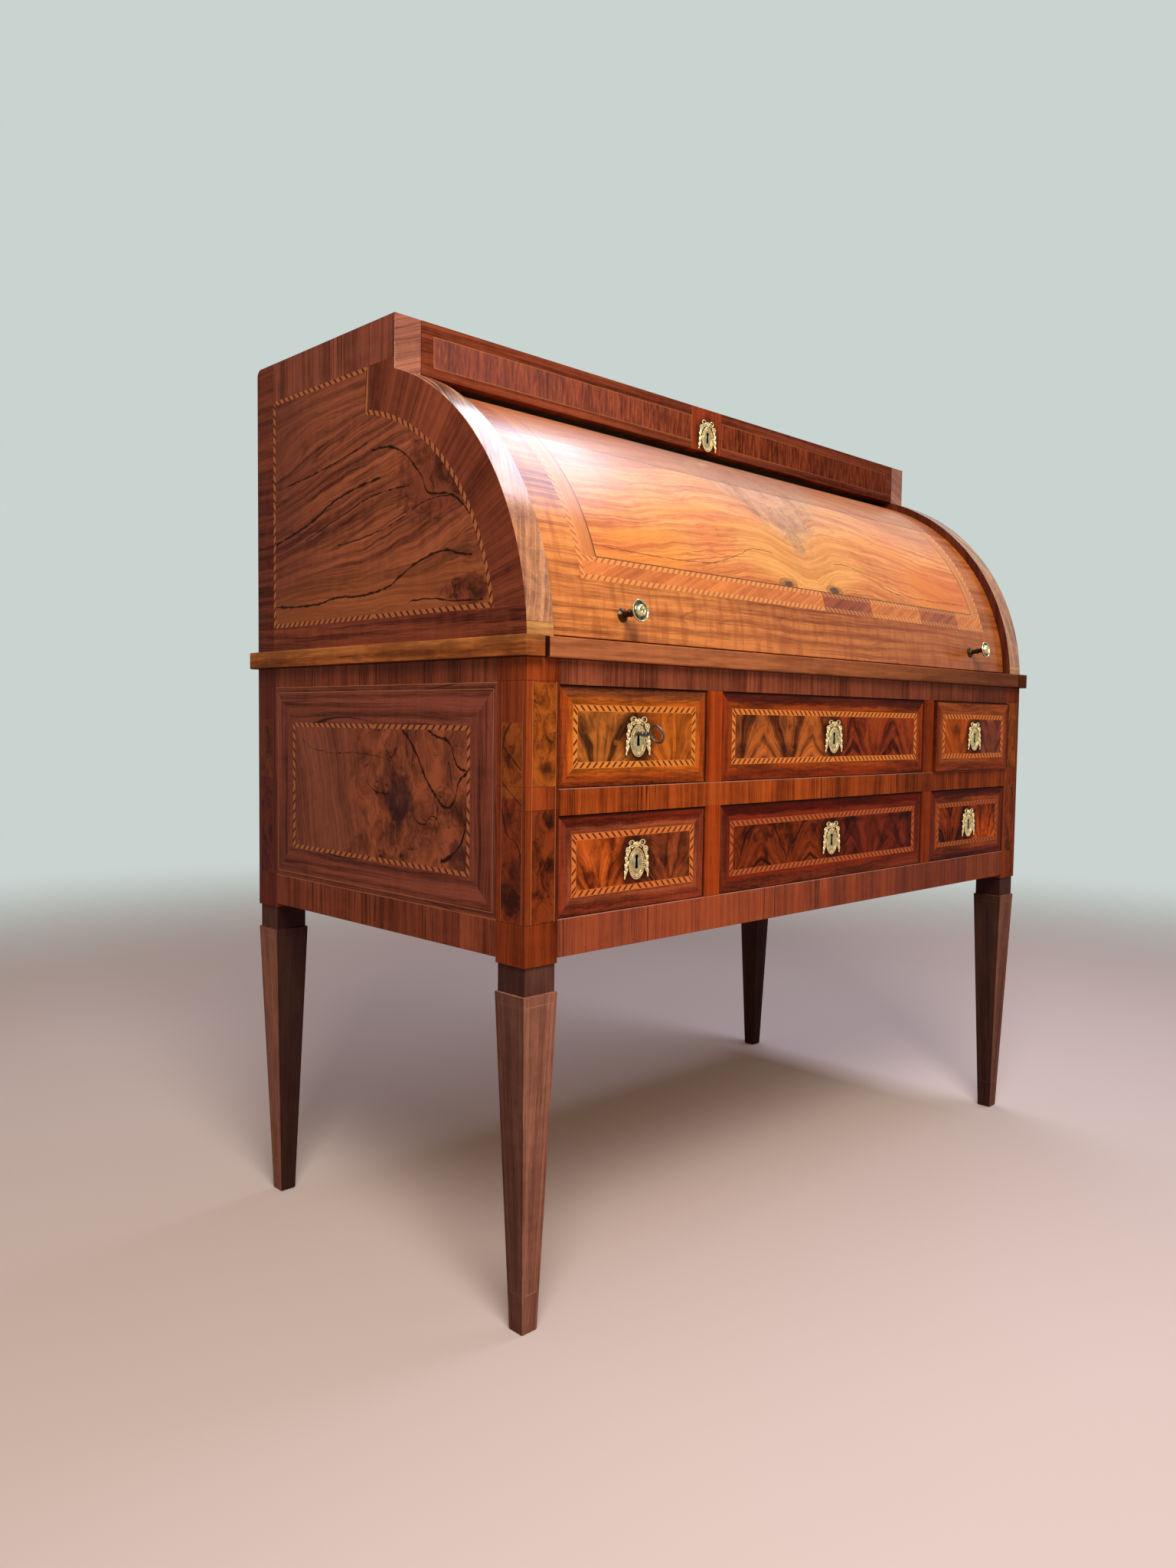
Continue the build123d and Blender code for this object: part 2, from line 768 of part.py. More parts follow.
# The key: a ring bow, a collar, a round stem and a bit that turns behind the bolt.
key_end_y = lock_back_y - glue - lock_wall - key_end_gap
bow_y = front_y - key_bow_reach
with BuildPart() as key:
    with BuildSketch(front_plane(lock_x, key_end_y, lock_z)):
        Circle(key_stem_radius)
    extrude(amount=key_end_y - bow_y - key_bow_radius)
    with BuildSketch(front_plane(lock_x, bow_y + key_bow_radius + key_collar_length, lock_z)):
        Circle(key_collar_radius)
    extrude(amount=key_collar_length - key_bow_wire)
    bow_plane = Plane(
        origin=(lock_x, bow_y, lock_z),
        x_dir=(0, 0, 1),
        z_dir=(cos(radians(key_rest_turn)), 0, -sin(radians(key_rest_turn))),
    )
    with Locations(bow_plane.location):
        Torus(key_bow_radius, key_bow_wire)
    bit_plane = Plane(
        origin=(lock_x, key_end_y, lock_z),
        x_dir=(cos(radians(key_rest_turn)), 0, -sin(radians(key_rest_turn))),
        z_dir=(0, -1, 0),
    )
    with BuildSketch(bit_plane):
        with Locations((0, -key_bit_reach / 2)):
            Rectangle(key_bit_thick, key_bit_reach)
    extrude(amount=key_bit_length)
save(key, "key")

# ---------------------------------------------------------------- inner fitting
# Small drawers stand under a row of pigeonholes; the bottom board's ears rest on the moulding.
fit_shelf = moulding_top + fit_board + fit_drawer_height
with BuildPart() as fitting:
    with BuildSketch(Plane.XY.offset(moulding_top)):
        with BuildLine():
            Polyline(
                (-fit_half, fit_front_y),
                (fit_half, fit_front_y),
                (fit_half, pivot_y + pocket_back + glue),
                (arm_outer, pivot_y + pocket_back + glue),
                (arm_outer, fit_back_y),
                (-arm_outer, fit_back_y),
                (-arm_outer, pivot_y + pocket_back + glue),
                (-fit_half, pivot_y + pocket_back + glue),
                (-fit_half, fit_front_y),
            )
        make_face()
    extrude(amount=fit_board)
    low = moulding_top + fit_board + glue
    for x in ((-fit_half, -fit_half + fit_board), (fit_half - fit_board, fit_half)):
        board(x, (fit_front_y, fit_back_y), (low, fit_top - fit_board - glue))
    board((-fit_half, fit_half), (fit_front_y, fit_back_y), (fit_top - fit_board, fit_top))
    inner_half = fit_half - fit_board - glue
    board(
        (-inner_half, inner_half),
        (fit_front_y, fit_back_y - fit_back - glue),
        (fit_shelf, fit_shelf + fit_board),
    )
    board(
        (-inner_half, inner_half),
        (fit_back_y - fit_back, fit_back_y),
        (low, fit_top - fit_board - glue),
    )
    drawer_cell = (2 * inner_half - (fit_drawer_count - 1) * fit_board) / fit_drawer_count
    for number in range(1, fit_drawer_count):
        x = -inner_half + number * (drawer_cell + fit_board) - fit_board
        board(
            (x, x + fit_board),
            (fit_front_y, fit_back_y - fit_back - glue),
            (low, fit_shelf - glue),
        )
    # Each partition's front edge sweeps back towards the top.
    hole_cell = (2 * inner_half - (pigeonhole_count - 1) * fit_board) / pigeonhole_count
    partition_low = fit_shelf + fit_board + glue
    partition_high = fit_top - fit_board - glue
    for number in range(1, pigeonhole_count):
        x = -inner_half + number * (hole_cell + fit_board) - fit_board
        with BuildSketch(Plane.YZ.offset(x)):
            with BuildLine():
                Spline(
                    (fit_front_y, partition_low),
                    (fit_front_y + scoop_depth, partition_high),
                    tangents=((0, 1), (0, 1)),
                )
                Polyline(
                    (fit_front_y + scoop_depth, partition_high),
                    (fit_back_y - fit_back - glue, partition_high),
                    (fit_back_y - fit_back - glue, partition_low),
                    (fit_front_y, partition_low),
                )
            make_face()
        extrude(amount=fit_board)
save(fitting, "fitting")

for number in range(fit_drawer_count):
    cell_x = -inner_half + number * (drawer_cell + fit_board)
    left = cell_x + fit_drawer_play
    right = cell_x + drawer_cell - fit_drawer_play
    floor_z = moulding_top + fit_board + box_lift
    high_z = fit_shelf - fit_drawer_play
    end_y = fit_back_y - fit_back - fit_drawer_play
    with BuildPart() as fit_drawer:
        board((left, right), (fit_front_y, fit_front_y + fit_drawer_front), (floor_z, high_z))
        rear = fit_front_y + fit_drawer_front + glue
        for x in (
            (left, left + fit_drawer_side),
            (right - fit_drawer_side, right),
        ):
            board(x, (rear, end_y), (floor_z, high_z - fit_drawer_side))
        inner = (left + fit_drawer_side + glue, right - fit_drawer_side - glue)
        board(inner, (rear, end_y), (floor_z, floor_z + fit_drawer_bottom))
        board(
            inner,
            (end_y - fit_drawer_side, end_y),
            (floor_z + fit_drawer_bottom + glue, high_z - fit_drawer_side),
        )
    save(fit_drawer, f"fitting_drawer_{number + 1}")
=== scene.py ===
# %% [markdown]
# # A cylinder desk in veneered walnut
# The desk stands on four tapered legs. Six drawers fill the lower case, a curved shutter turns over
# the writing slide, and a long shallow drawer fills the frieze above it. The solids, their places
# and their movements come ready made. This lesson dresses them: it models the brass, the key and
# the soft edges of the boards, and lays a veneer on every face.

# %% Load the desk's frame
from math import cos, pi, radians, sin

import bpy
from mathutils import Matrix, Vector


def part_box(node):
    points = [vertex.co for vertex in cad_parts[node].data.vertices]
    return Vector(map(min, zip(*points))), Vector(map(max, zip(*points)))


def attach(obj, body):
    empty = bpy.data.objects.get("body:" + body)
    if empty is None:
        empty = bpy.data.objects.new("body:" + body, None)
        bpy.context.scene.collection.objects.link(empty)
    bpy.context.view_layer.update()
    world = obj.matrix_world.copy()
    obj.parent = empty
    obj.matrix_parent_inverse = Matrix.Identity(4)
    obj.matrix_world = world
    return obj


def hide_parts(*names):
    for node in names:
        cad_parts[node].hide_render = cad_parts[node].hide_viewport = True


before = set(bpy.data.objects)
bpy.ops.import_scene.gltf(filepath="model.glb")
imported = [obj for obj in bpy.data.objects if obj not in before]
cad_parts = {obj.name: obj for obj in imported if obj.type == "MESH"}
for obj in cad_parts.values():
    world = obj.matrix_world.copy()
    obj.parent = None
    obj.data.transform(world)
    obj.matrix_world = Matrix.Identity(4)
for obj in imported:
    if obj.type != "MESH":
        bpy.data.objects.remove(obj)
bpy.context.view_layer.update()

# %% [markdown]
# ## Camera
# A camera is placed as a person would stand: a place, a direction and a little tilt of the head.
# Three rotations in a row are easier to read than one set of Euler angles, so the matrix is built
# from the heading, the pitch and the roll. The lens is a wide one, close to the desk.

# %% Camera
EYE = Vector((-1.4196, -1.2162, 0.7066))
HEADING = radians(44.344)
PITCH = radians(-3.246)
ROLL = radians(0.703)

camera = bpy.data.objects.new("camera", bpy.data.cameras.new("camera"))
camera.data.lens = 25.96
camera.data.sensor_width = 36.0
camera.data.shift_x = 0.0009
camera.data.shift_y = 0.0010
turn = Matrix.Rotation(-HEADING, 4, "Z") @ Matrix.Rotation(pi / 2 + PITCH, 4, "X")
camera.matrix_world = Matrix.Translation(EYE) @ turn @ Matrix.Rotation(ROLL, 4, "Z")
bpy.context.scene.collection.objects.link(camera)
bpy.context.scene.camera = camera
print("camera", tuple(round(v, 3) for v in camera.matrix_world.translation))

# %% [markdown]
# ## Colours
# Screen colours are written as on a colour card, as red, green and blue in hexadecimal. Shaders
# want linear light, so one helper turns a card's code into a shader's colour.

# %% Colour helper
bpy.context.scene.view_settings.view_transform = "Standard"


def paint(code):
    """The shader colour of a hexadecimal screen colour."""
    parts = [int(code[i : i + 2], 16) / 255 for i in (0, 2, 4)]
    linear = [p / 12.92 if p <= 0.04045 else ((p + 0.055) / 1.055) ** 2.4 for p in parts]
    return (*linear, 1.0)


print("walnut brown", [round(c, 3) for c in paint("8a4a2a")])

# %% [markdown]
# ## Sums on wires
# A veneer is a drawing: bands, mitres, strings and fields, each with its grain in its own
# direction. In a node tree such a drawing is made of many small sums. A `Wire` wraps one socket,
# and Python's own signs then add the Math nodes, so a band can be written like a formula.

# %% Wires


def plug(tree, socket, value):
    """Feed a socket from a wire, or set it to a plain number or to a colour's code."""
    if isinstance(value, Wire):
        tree.links.new(value.socket, socket)
    else:
        socket.default_value = paint(value) if isinstance(value, str) else value


class Wire:
    """One value that flows through a node tree."""

    def __init__(self, tree, socket):
        self.tree = tree
        self.socket = socket

    def sum(self, operation, *others):
        node = self.tree.nodes.new("ShaderNodeMath")
        node.operation = operation
        for socket, value in zip(node.inputs, (self, *others)):
            plug(self.tree, socket, value)
        return Wire(self.tree, node.outputs[0])

    def __add__(self, other):
        return self.sum("ADD", other)

    def __sub__(self, other):
        return self.sum("SUBTRACT", other)

    def __rsub__(self, number):
        return self * -1.0 + number

    def __mul__(self, other):
        return self.sum("MULTIPLY", other)

    def __truediv__(self, other):
        return self.sum("DIVIDE", other)

    def __abs__(self):
        return self.sum("ABSOLUTE")

    def above(self, other):
        return self.sum("GREATER_THAN", other)

    def below(self, other):
        return self.sum("LESS_THAN", other)

    def least(self, other):
        return self.sum("MINIMUM", other)

    def most(self, other):
        return self.sum("MAXIMUM", other)

    def between(self, low, high):
        return self.above(low) * self.below(high)

    def ramp(self, low, high):
        """A soft step from 0 at low to 1 at high."""
        node = self.tree.nodes.new("ShaderNodeMapRange")
        node.interpolation_type = "SMOOTHSTEP"
        plug(self.tree, node.inputs["Value"], self)
        node.inputs["From Min"].default_value = low
        node.inputs["From Max"].default_value = high
        return Wire(self.tree, node.outputs["Result"])

    def pick(self, off, on):
        """off where this wire is 0, and on where it is 1."""
        node = self.tree.nodes.new("ShaderNodeMix")
        plug(self.tree, node.inputs["Factor"], self)
        plug(self.tree, node.inputs["A"], off)
        plug(self.tree, node.inputs["B"], on)
        return Wire(self.tree, node.outputs["Result"])

    def tint(self, off, on):
        """The same choice between two colours."""
        node = self.tree.nodes.new("ShaderNodeMix")
        node.data_type = "RGBA"
        plug(self.tree, node.inputs["Factor"], self)
        plug(self.tree, node.inputs[6], off)
        plug(self.tree, node.inputs[7], on)
        return Wire(self.tree, node.outputs[2])


def noise(x, y, z, detail=2.0, rough=0.5, twist=0.0):
    """Noise from 0 to 1, read at the place that three wires or numbers give."""
    tree = next(w for w in (x, y, z) if isinstance(w, Wire)).tree
    place = tree.nodes.new("ShaderNodeCombineXYZ")
    for socket, value in zip(place.inputs, (x, y, z)):
        plug(tree, socket, value)
    node = tree.nodes.new("ShaderNodeTexNoise")
    tree.links.new(place.outputs[0], node.inputs["Vector"])
    node.inputs["Scale"].default_value = 1.0
    node.inputs["Detail"].default_value = detail
    node.inputs["Roughness"].default_value = rough
    node.inputs["Distortion"].default_value = twist
    return Wire(tree, node.outputs["Fac"])


print("wires ready")

# %% [markdown]
# ## Walnut, drawn once
# Straight walnut has slow waves, stripes of early and late wood, fine fibres, short dark pores and
# here and there a black line that wanders with the grain. One node group draws all five from two
# numbers, the place along the grain and the place across it, so that every board can turn its grain
# as it likes. Contour lines of a slow noise make the black lines, as a map's do.

# %% Straight walnut group


def new_group(name, inputs):
    """An empty node group with these inputs and one colour output, and its input wires."""
    tree = bpy.data.node_groups.new(name, "ShaderNodeTree")
    for label in inputs:
        kind = "NodeSocketColor" if label in ("Light", "Dark") else "NodeSocketFloat"
        tree.interface.new_socket(name=label, in_out="INPUT", socket_type=kind)
    tree.interface.new_socket(name="Colour", in_out="OUTPUT", socket_type="NodeSocketColor")
    source = tree.nodes.new("NodeGroupInput")
    return tree, {label: Wire(tree, source.outputs[label]) for label in inputs}


def close_group(tree, colour):
    tree.links.new(colour.socket, tree.nodes.new("NodeGroupOutput").inputs[0])


def contour(value, rings, width):
    """Thin lines where a slow value crosses each of so many levels."""
    return value.sum("MULTIPLY", rings).sum("PINGPONG", 0.5).ramp(width, 0.0)


BLACK_LINE = "1d0a05"

straight, w = new_group(
    "straight_walnut", ["Along", "Across", "Seed", "Wave", "Stripe", "Vein", "Light", "Dark"]
)
slow = noise(w["Along"] * 4.0, w["Across"] * 9.0, w["Seed"], 1.0) - 0.5
quick = noise(w["Along"] * 19.0, w["Across"] * 38.0, w["Seed"] + 7.0, 1.0) - 0.5
across = w["Across"] + (slow + quick * 0.30) * w["Wave"]
broad = noise(w["Along"] * 1.5, across * 21.0, w["Seed"] + 23.0, 2.0).ramp(0.34, 0.66)
stripes = noise(w["Along"] * 2.4, across * 120.0, w["Seed"] + 3.0, 4.0, 0.66).ramp(0.38, 0.62)
fibres = noise(w["Along"] * 24.0, across * 820.0, w["Seed"] + 5.0, 2.0) - 0.5
ripple = noise(w["Along"] * 70.0, across * 26.0, w["Seed"] + 29.0, 2.0) - 0.5
pores = noise(w["Along"] * 75.0, across * 2100.0, w["Seed"] + 9.0, 1.0).ramp(0.60, 0.72)
lines = contour(noise(w["Along"] * 1.9, across * 15.0, w["Seed"] + 11.0, 1.0), 9.0, 0.10)
strength = noise(w["Along"] * 3.0, across * 24.0, w["Seed"] + 17.0, 1.0).ramp(0.44, 0.64)
share = broad * 0.42 + stripes * w["Stripe"] * 0.66 + fibres * 0.95 + ripple * 0.40
share = share.most(0.0).least(1.0)
wood = share.tint(w["Light"], w["Dark"])
wood = (lines * strength * w["Vein"]).tint(wood, BLACK_LINE)
close_group(straight, (pores * 0.42).tint(wood, BLACK_LINE))
print("straight walnut", len(straight.nodes), "nodes")

# %% [markdown]
# ## Burr walnut
# Veneer from the root or from a crotch has no one direction. Its figure curls, darkens in clouds
# and is crossed by black veins. The place is pushed about by two noises before it is read, which
# gives the curls, and the same contour trick draws the veins.

# %% Burr walnut group
burr, w = new_group("burr_walnut", ["U", "V", "Seed", "Curl", "Vein", "Light", "Dark"])
push_u = noise(w["U"] * 15.0, w["V"] * 15.0, w["Seed"], 3.0) - 0.5
push_v = noise(w["U"] * 15.0, w["V"] * 15.0, w["Seed"] + 31.0, 3.0) - 0.5
u = w["U"] + push_u * w["Curl"]
v = w["V"] + push_v * w["Curl"]
cloud = noise(u * 21.0, v * 21.0, w["Seed"] + 3.0, 5.0, 0.62, 0.5).ramp(0.36, 0.66)
deep = noise(u * 9.0, v * 9.0, w["Seed"] + 5.0, 2.0).ramp(0.50, 0.70)
streak = noise(u * 260.0, v * 60.0, w["Seed"] + 8.0, 3.0, 0.6) - 0.5
eyes = noise(u * 90.0, v * 90.0, w["Seed"] + 21.0, 2.0, 0.6).ramp(0.60, 0.72)
veins = contour(noise(u * 12.0, v * 12.0, w["Seed"] + 13.0, 2.0), 6.0, 0.11)
veins = veins * noise(u * 14.0, v * 14.0, w["Seed"] + 19.0, 1.0).ramp(0.46, 0.60)
share = cloud * 0.62 + streak * 1.25 + deep * 0.30 + eyes * 0.4
share = share.most(0.0).least(1.0)
wood = share.tint(w["Light"], w["Dark"])
wood = (deep * cloud * 0.55).tint(wood, BLACK_LINE)
close_group(burr, (veins * w["Vein"]).tint(wood, BLACK_LINE))
print("burr walnut", len(burr.nodes), "nodes")
# %% [markdown]
# ## A finish
# Every finish starts in the same way: a material, the place on the desk as x, y and z, and the way
# the face looks. It ends in the same way too, in a polished or a bare surface. What lies between is
# the drawing. Old polish is never quite flat, so the polished surface gets a slow, shallow bump
# that breaks up reflections.

# %% Finish class


class Finish:
    """A material being drawn, which knows the place on the desk and the way a face looks."""

    def __init__(self, name):
        self.material = bpy.data.materials.new(name)
        self.material.use_nodes = True
        self.tree = self.material.node_tree
        self.tree.nodes.clear()
        source = self.tree.nodes.new("ShaderNodeTexCoord")
        self.place = self.parts(source.outputs["Object"])
        looks = self.parts(source.outputs["Normal"])
        self.sideways, self.upward = abs(looks[0]).above(0.7), abs(looks[2]).above(0.7)

    def parts(self, socket):
        node = self.tree.nodes.new("ShaderNodeSeparateXYZ")
        self.tree.links.new(socket, node.inputs[0])
        return [Wire(self.tree, node.outputs[i]) for i in range(3)]

    def use(self, group, **inputs):
        node = self.tree.nodes.new("ShaderNodeGroup")
        node.node_tree = group
        for label, value in inputs.items():
            plug(self.tree, node.inputs[label], value)
        return Wire(self.tree, node.outputs[0])

    def walnut(self, along, across, light, dark, seed=0.0, wave=0.006, stripe=0.7, vein=0.0):
        return self.use(
            straight, Along=along, Across=across, Seed=seed, Wave=wave, Stripe=stripe, Vein=vein,
            Light=light, Dark=dark,
        )

    def burr(self, u, v, light, dark, seed=0.0, curl=0.05, vein=0.7):
        return self.use(burr, U=u, V=v, Seed=seed, Curl=curl, Vein=vein, Light=light, Dark=dark)

    def close(self, colour, gloss=0.34, coat=0.09, bump=0.0006, scale=26.0, metal=0.0, shine=0.0):
        """End the drawing in a shader. gloss is the roughness about which the surface varies."""
        shader = self.tree.nodes.new("ShaderNodeBsdfPrincipled")
        plug(self.tree, shader.inputs["Base Color"], colour)
        shader.inputs["Metallic"].default_value = metal
        shader.inputs["Specular IOR Level"].default_value = shine
        plug(self.tree, shader.inputs["Coat Weight"], coat)
        shader.inputs["Coat Roughness"].default_value = 0.20
        uneven = noise(*(along * scale for along in self.place), 2.0)
        plug(self.tree, shader.inputs["Roughness"], uneven * 0.16 + (gloss - 0.08))
        relief = self.tree.nodes.new("ShaderNodeBump")
        relief.inputs["Distance"].default_value = bump
        plug(self.tree, relief.inputs["Height"], uneven)
        self.tree.links.new(relief.outputs[0], shader.inputs["Normal"])
        end = self.tree.nodes.new("ShaderNodeOutputMaterial")
        self.tree.links.new(shader.outputs[0], end.inputs["Surface"])
        print("finish", self.material.name, len(self.tree.nodes), "nodes")
        return self.material


# %% [markdown]
# ## Inlay
# Three shapes come back on every face. A frame is a rectangle seen from its edge inwards, which
# gives mitred corners for nothing: whichever edge is nearer sets the direction of the grain. A rope
# is a band of slanting light and dark slips. A line through a few points is a vein that the
# cabinet maker chose for its place in the veneer. Strings, joints, stains and veins are then laid
# over the wood in layers, as a list of where, how strongly and in what colour.

# %% Inlay helpers
ROPE_PITCH, ROPE_WIDTH = 0.0107, 0.0066
STRING = 0.0008
JOINT = 0.0006


def layers(wood, *marks):
    """Lay marks over the wood in turn. Each says where, how strongly and in what colour."""
    for where, strength, colour in marks:
        wood = (where * strength).tint(wood, colour)
    return wood


def frame_of(u, v, middle, half):
    """The distance inwards from a rectangle's nearest edge, and that from the edge's middle."""
    off_u, off_v = abs(u - middle[0]), abs(v - middle[1])
    from_side, from_end = half[0] - off_u, half[1] - off_v
    run = from_side.below(from_end).pick(off_u, off_v)
    return from_side.least(from_end), run


def rope_share(run, depth, pitch=ROPE_PITCH):
    """How much of the light wood shows in a rope, whose depth runs from 0 at one edge."""
    return ((run + depth) / pitch).sum("PINGPONG", 0.5).ramp(0.13, 0.22)


def line_at(distance, place, width=STRING):
    """1 on a thin line where the distance is near place."""
    return abs(distance - place).below(width / 2)


def through(value, points):
    """A smooth line through a few points, as a number that follows value."""
    low, high = points[0][0], points[-1][0]
    heights = [p[1] for p in points]
    bottom, rise = min(heights), max(heights) - min(heights)
    share = (value - low) / (high - low)
    node = value.tree.nodes.new("ShaderNodeFloatCurve")
    line = node.mapping.curves[0]
    spots = [((a - low) / (high - low), (b - bottom) / rise) for a, b in points]
    line.points[0].location = spots[0]
    line.points[1].location = spots[-1]
    for spot in spots[1:-1]:
        line.points.new(*spot)
    node.mapping.update()
    plug(value.tree, node.inputs["Value"], share)
    return Wire(value.tree, node.outputs[0]) * rise + bottom


def jagged(u, v, reach):
    """The place across, shaken a little so that a vein comes out ragged."""
    return v + (noise(u * 240.0, v * 240.0, 4.0, 2.0, 0.6) - 0.5) * reach


def vein_of(u, v, points, width=0.0013, wander=0.004, seed=0.0):
    """A dark vein that follows a few points, thick and thin by turns, as 1 on the vein."""
    drift = noise(u * 70.0, seed, 0.0, 3.0) * wander - wander / 2
    thick = noise(u * 60.0, seed + 9.0, 0.0, 2.0).ramp(0.32, 0.66) * width + width * 0.35
    off = abs(v - through(u, points) - drift) / thick
    return off.ramp(1.0, 0.35) * u.between(points[0][0], points[-1][0])


def far_from(u, v, place, size=(1.0, 1.0)):
    """The distance from a place, squared, in units of the two sizes."""
    du, dv = (u - place[0]) / size[0], (v - place[1]) / size[1]
    return du * du + dv * dv


def spot_at(u, v, place, size):
    """1 inside a soft oval at a place, and 0 outside it."""
    return far_from(u, v, place, size).ramp(1.3, 0.4)


def ragged_spot(u, v, place, size, seed=0.0, soft=1.0):
    """The same with a ragged edge."""
    rough = noise(u * 60.0, v * 60.0, seed, 4.0, 0.6) * 3.4 - 1.7
    return (far_from(u, v, place, size) + rough).ramp(1.3, 1.3 - soft)


def polar(y, z):
    """The distance from the shutter's pivot, and the angle up from the front."""
    radius = far_from(y, z, PIVOT).sum("SQRT")
    return radius, (z - PIVOT[1]).sum("ARCTAN2", PIVOT[0] - y)


def painted_shade_right(finish, wood, share=0.40):
    """Painted shade that deepens towards the right end of the front, away from the window light."""
    return (finish.place[0].ramp(-0.30, 0.60) * share).tint(wood, "3c1003")


def swatches(value, codes):
    """One of a few colours, picked by a whole number from 0."""
    count = len(codes)
    share = (value + 0.5) / count
    node = value.tree.nodes.new("ShaderNodeValToRGB")
    ramp = node.color_ramp
    ramp.interpolation = "CONSTANT"
    for number, code in enumerate(codes):
        stop = ramp.elements[number] if number < 2 else ramp.elements.new(number / count)
        stop.position = number / count
        stop.color = paint(code)
    plug(value.tree, node.inputs[0], share)
    return Wire(value.tree, node.outputs[0])


print("rope pitch", ROPE_PITCH * 1000, "mm, string", STRING * 1000, "mm")

# %% [markdown]
# ## Colours of the desk
# The same walnut looks orange on the sunny front, red brown on the sides and honey coloured on the
# shutter, which has faded most. Each part gets a light and a dark tone of its own.

# %% Wood colours
FRONT_LIGHT, FRONT_DARK = "bd551d", "4c1504"
SIDE_LIGHT, SIDE_DARK = "994c32", "3c140a"
HONEY_LIGHT, HONEY_DARK = "ba6530", "58250b"
BACK_LIGHT, BACK_DARK = "6b3422", "3c180f"
# the dark stain serves for joints and marks, and also as painted shade in the drawers' gaps
PALE_STRING, STAIN_AND_SHADE, KEYHOLE_BLACK = "c98a55", "2a0f08", "080403"
PIVOT = (0.091, 0.786)  # the shutter turns about this y and z
DEPTH_MIDDLE = 0.0165  # halfway between the front and the back of the lower case
BACK_FACE = 0.3135  # just before the rear faces of the posts and sides
KEYHOLE_SPOT = (0.0045, 0.0105)
print("colours set")

# %% [markdown]
# ## Rails and dividers
# The rails are crossbanded: short strips of veneer stand side by side with their grain upright,
# and each strip has its own tone. The dividers have upright grain in one piece.

# %% Crossbanded rails and dividers


def crossband(finish, along, across, light, dark, strip, seed, thread=0.85):
    """Veneer with its grain along one way, laid in strips side by side the other way."""
    step = across / strip
    block = step.sum("FLOOR")
    tone = noise(block * 3.7, seed, 0.0, 0.0).ramp(0.32, 0.68)
    wood = finish.walnut(
        along, across, (tone * 0.38).tint(light, dark), (tone * 0.30).tint(dark, BLACK_LINE),
        seed=block + seed, wave=0.006, stripe=0.52,
    )
    cluster = noise(across * 16.0, seed + 3.0, 0.0, 1.0).ramp(0.48, 0.62)
    threads = noise(across * 330.0, along * 7.0, seed, 2.0).ramp(0.53, 0.64)
    joint = (step - block).below(JOINT / strip)
    return layers(wood, (cluster * threads, thread, BLACK_LINE), (joint, 0.6, BLACK_LINE))


rail = Finish("crossbanded_rail")
x, y, z = rail.place
bright = crossband(rail, z, x, FRONT_LIGHT, FRONT_DARK, 0.183, 4.0)
dull = crossband(rail, z, x, "aa5a3c", "4a1c10", 0.21, 14.0, 0.45)
# painted shade on the top rail, deepening towards the right end
dull = layers(dull, (x.ramp(-0.2, 0.3), 0.30, "3c1207"))
crack = line_at(x + noise(z * 40.0, 0.0, 0.0, 1.0) * 0.004, -0.135, 0.0016)
wood = layers(
    z.above(0.747).tint(bright, dull),  # the top rail is the dull one, painted with the shade under the moulding
    (crack * z.below(0.482), 0.9, BLACK_LINE),
    (line_at(z, 0.6296, 0.0010) + line_at(z, 0.4806, 0.0010), 0.45, "c09a86"),  # worn edges, with a painted highlight where light catches them
    (z.below(0.4805), 0.28, "80504c"),
)
rail_finish = rail.close(painted_shade_right(rail, wood, 0.20))

divider = Finish("upright_divider")
x, y, z = divider.place
wood = divider.walnut(z, x, "b14714", "581b05", seed=2.0, stripe=0.6)
divider_finish = divider.close(painted_shade_right(divider, wood))

# %% [markdown]
# ## Posts
# A narrow panel of burr veneer stands on the front and on the outer side of each post, between two
# pale strings, with a plain block where the middle rail meets it. One drawing serves both faces,
# because the way a face looks tells which coordinate runs across it.

# %% Post finish
post = Finish("burr_post")
x, y, z = post.place
from_middle = post.sideways.pick(abs(abs(x) - 0.573), abs(abs(y - DEPTH_MIDDLE) - 0.2745))
across = post.sideways.pick(x, y)
seed = post.sideways * 5.0 + x.above(0.0) * 9.0 + y.above(0.0) * 3.0
plain = post.walnut(z, across, "a4481c", FRONT_DARK, seed=seed, stripe=0.6)
upper_piece = z.above(0.62)
curly = post.burr(
    across * 2.8, z * 1.7, upper_piece.tint("9c441a", "b05a1c"),
    upper_piece.tint("2a0c06", "451606"), seed=seed, curl=0.11, vein=0.45,
)
veins = (
    ((0.651, -0.2740), (0.661, -0.2625), (0.672, -0.2497), (0.680, -0.2440), (0.704, -0.2574)),
    ((0.612, -0.2752), (0.625, -0.2570), (0.637, -0.2421)),
    ((0.543, -0.2752), (0.560, -0.2727), (0.571, -0.2650), (0.578, -0.2523), (0.606, -0.2420)),
)
for number, points in enumerate(veins):
    vein = vein_of(z, y, points, 0.0022, 0.005, number * 3.0) * post.sideways
    curly = layers(curly, (vein, 0.85, BLACK_LINE))
burnt = ragged_spot(across, z, (-0.260, 0.506), (0.034, 0.021), 3.0, 1.3)
burnt = burnt.most(ragged_spot(across, z, (-0.267, 0.535), (0.015, 0.024), 7.0, 1.6) * 0.85)
burnt = burnt * post.sideways
for place, size in (((-0.566, 0.652), (0.016, 0.014)), ((-0.563, 0.592), (0.009, 0.010))):
    burnt = burnt.most(ragged_spot(across, z, place, size, 5.0, 1.6) * 0.85)
curly = layers(curly, (burnt, 0.95, "170908"))
block_low, block_high = 0.607, 0.633  # the plain block beside the middle rail
panel_low, panel_high = 0.479, 0.751
bare = post.sideways * z.above(0.704) + z.between(block_low, block_high) * (1.0 - post.sideways)
figured = from_middle.below(0.0172) * z.between(0.481, 0.749) * (1.0 - bare)
joints = line_at(z, panel_low) + line_at(z, panel_high) + line_at(z, block_low, 0.0005)
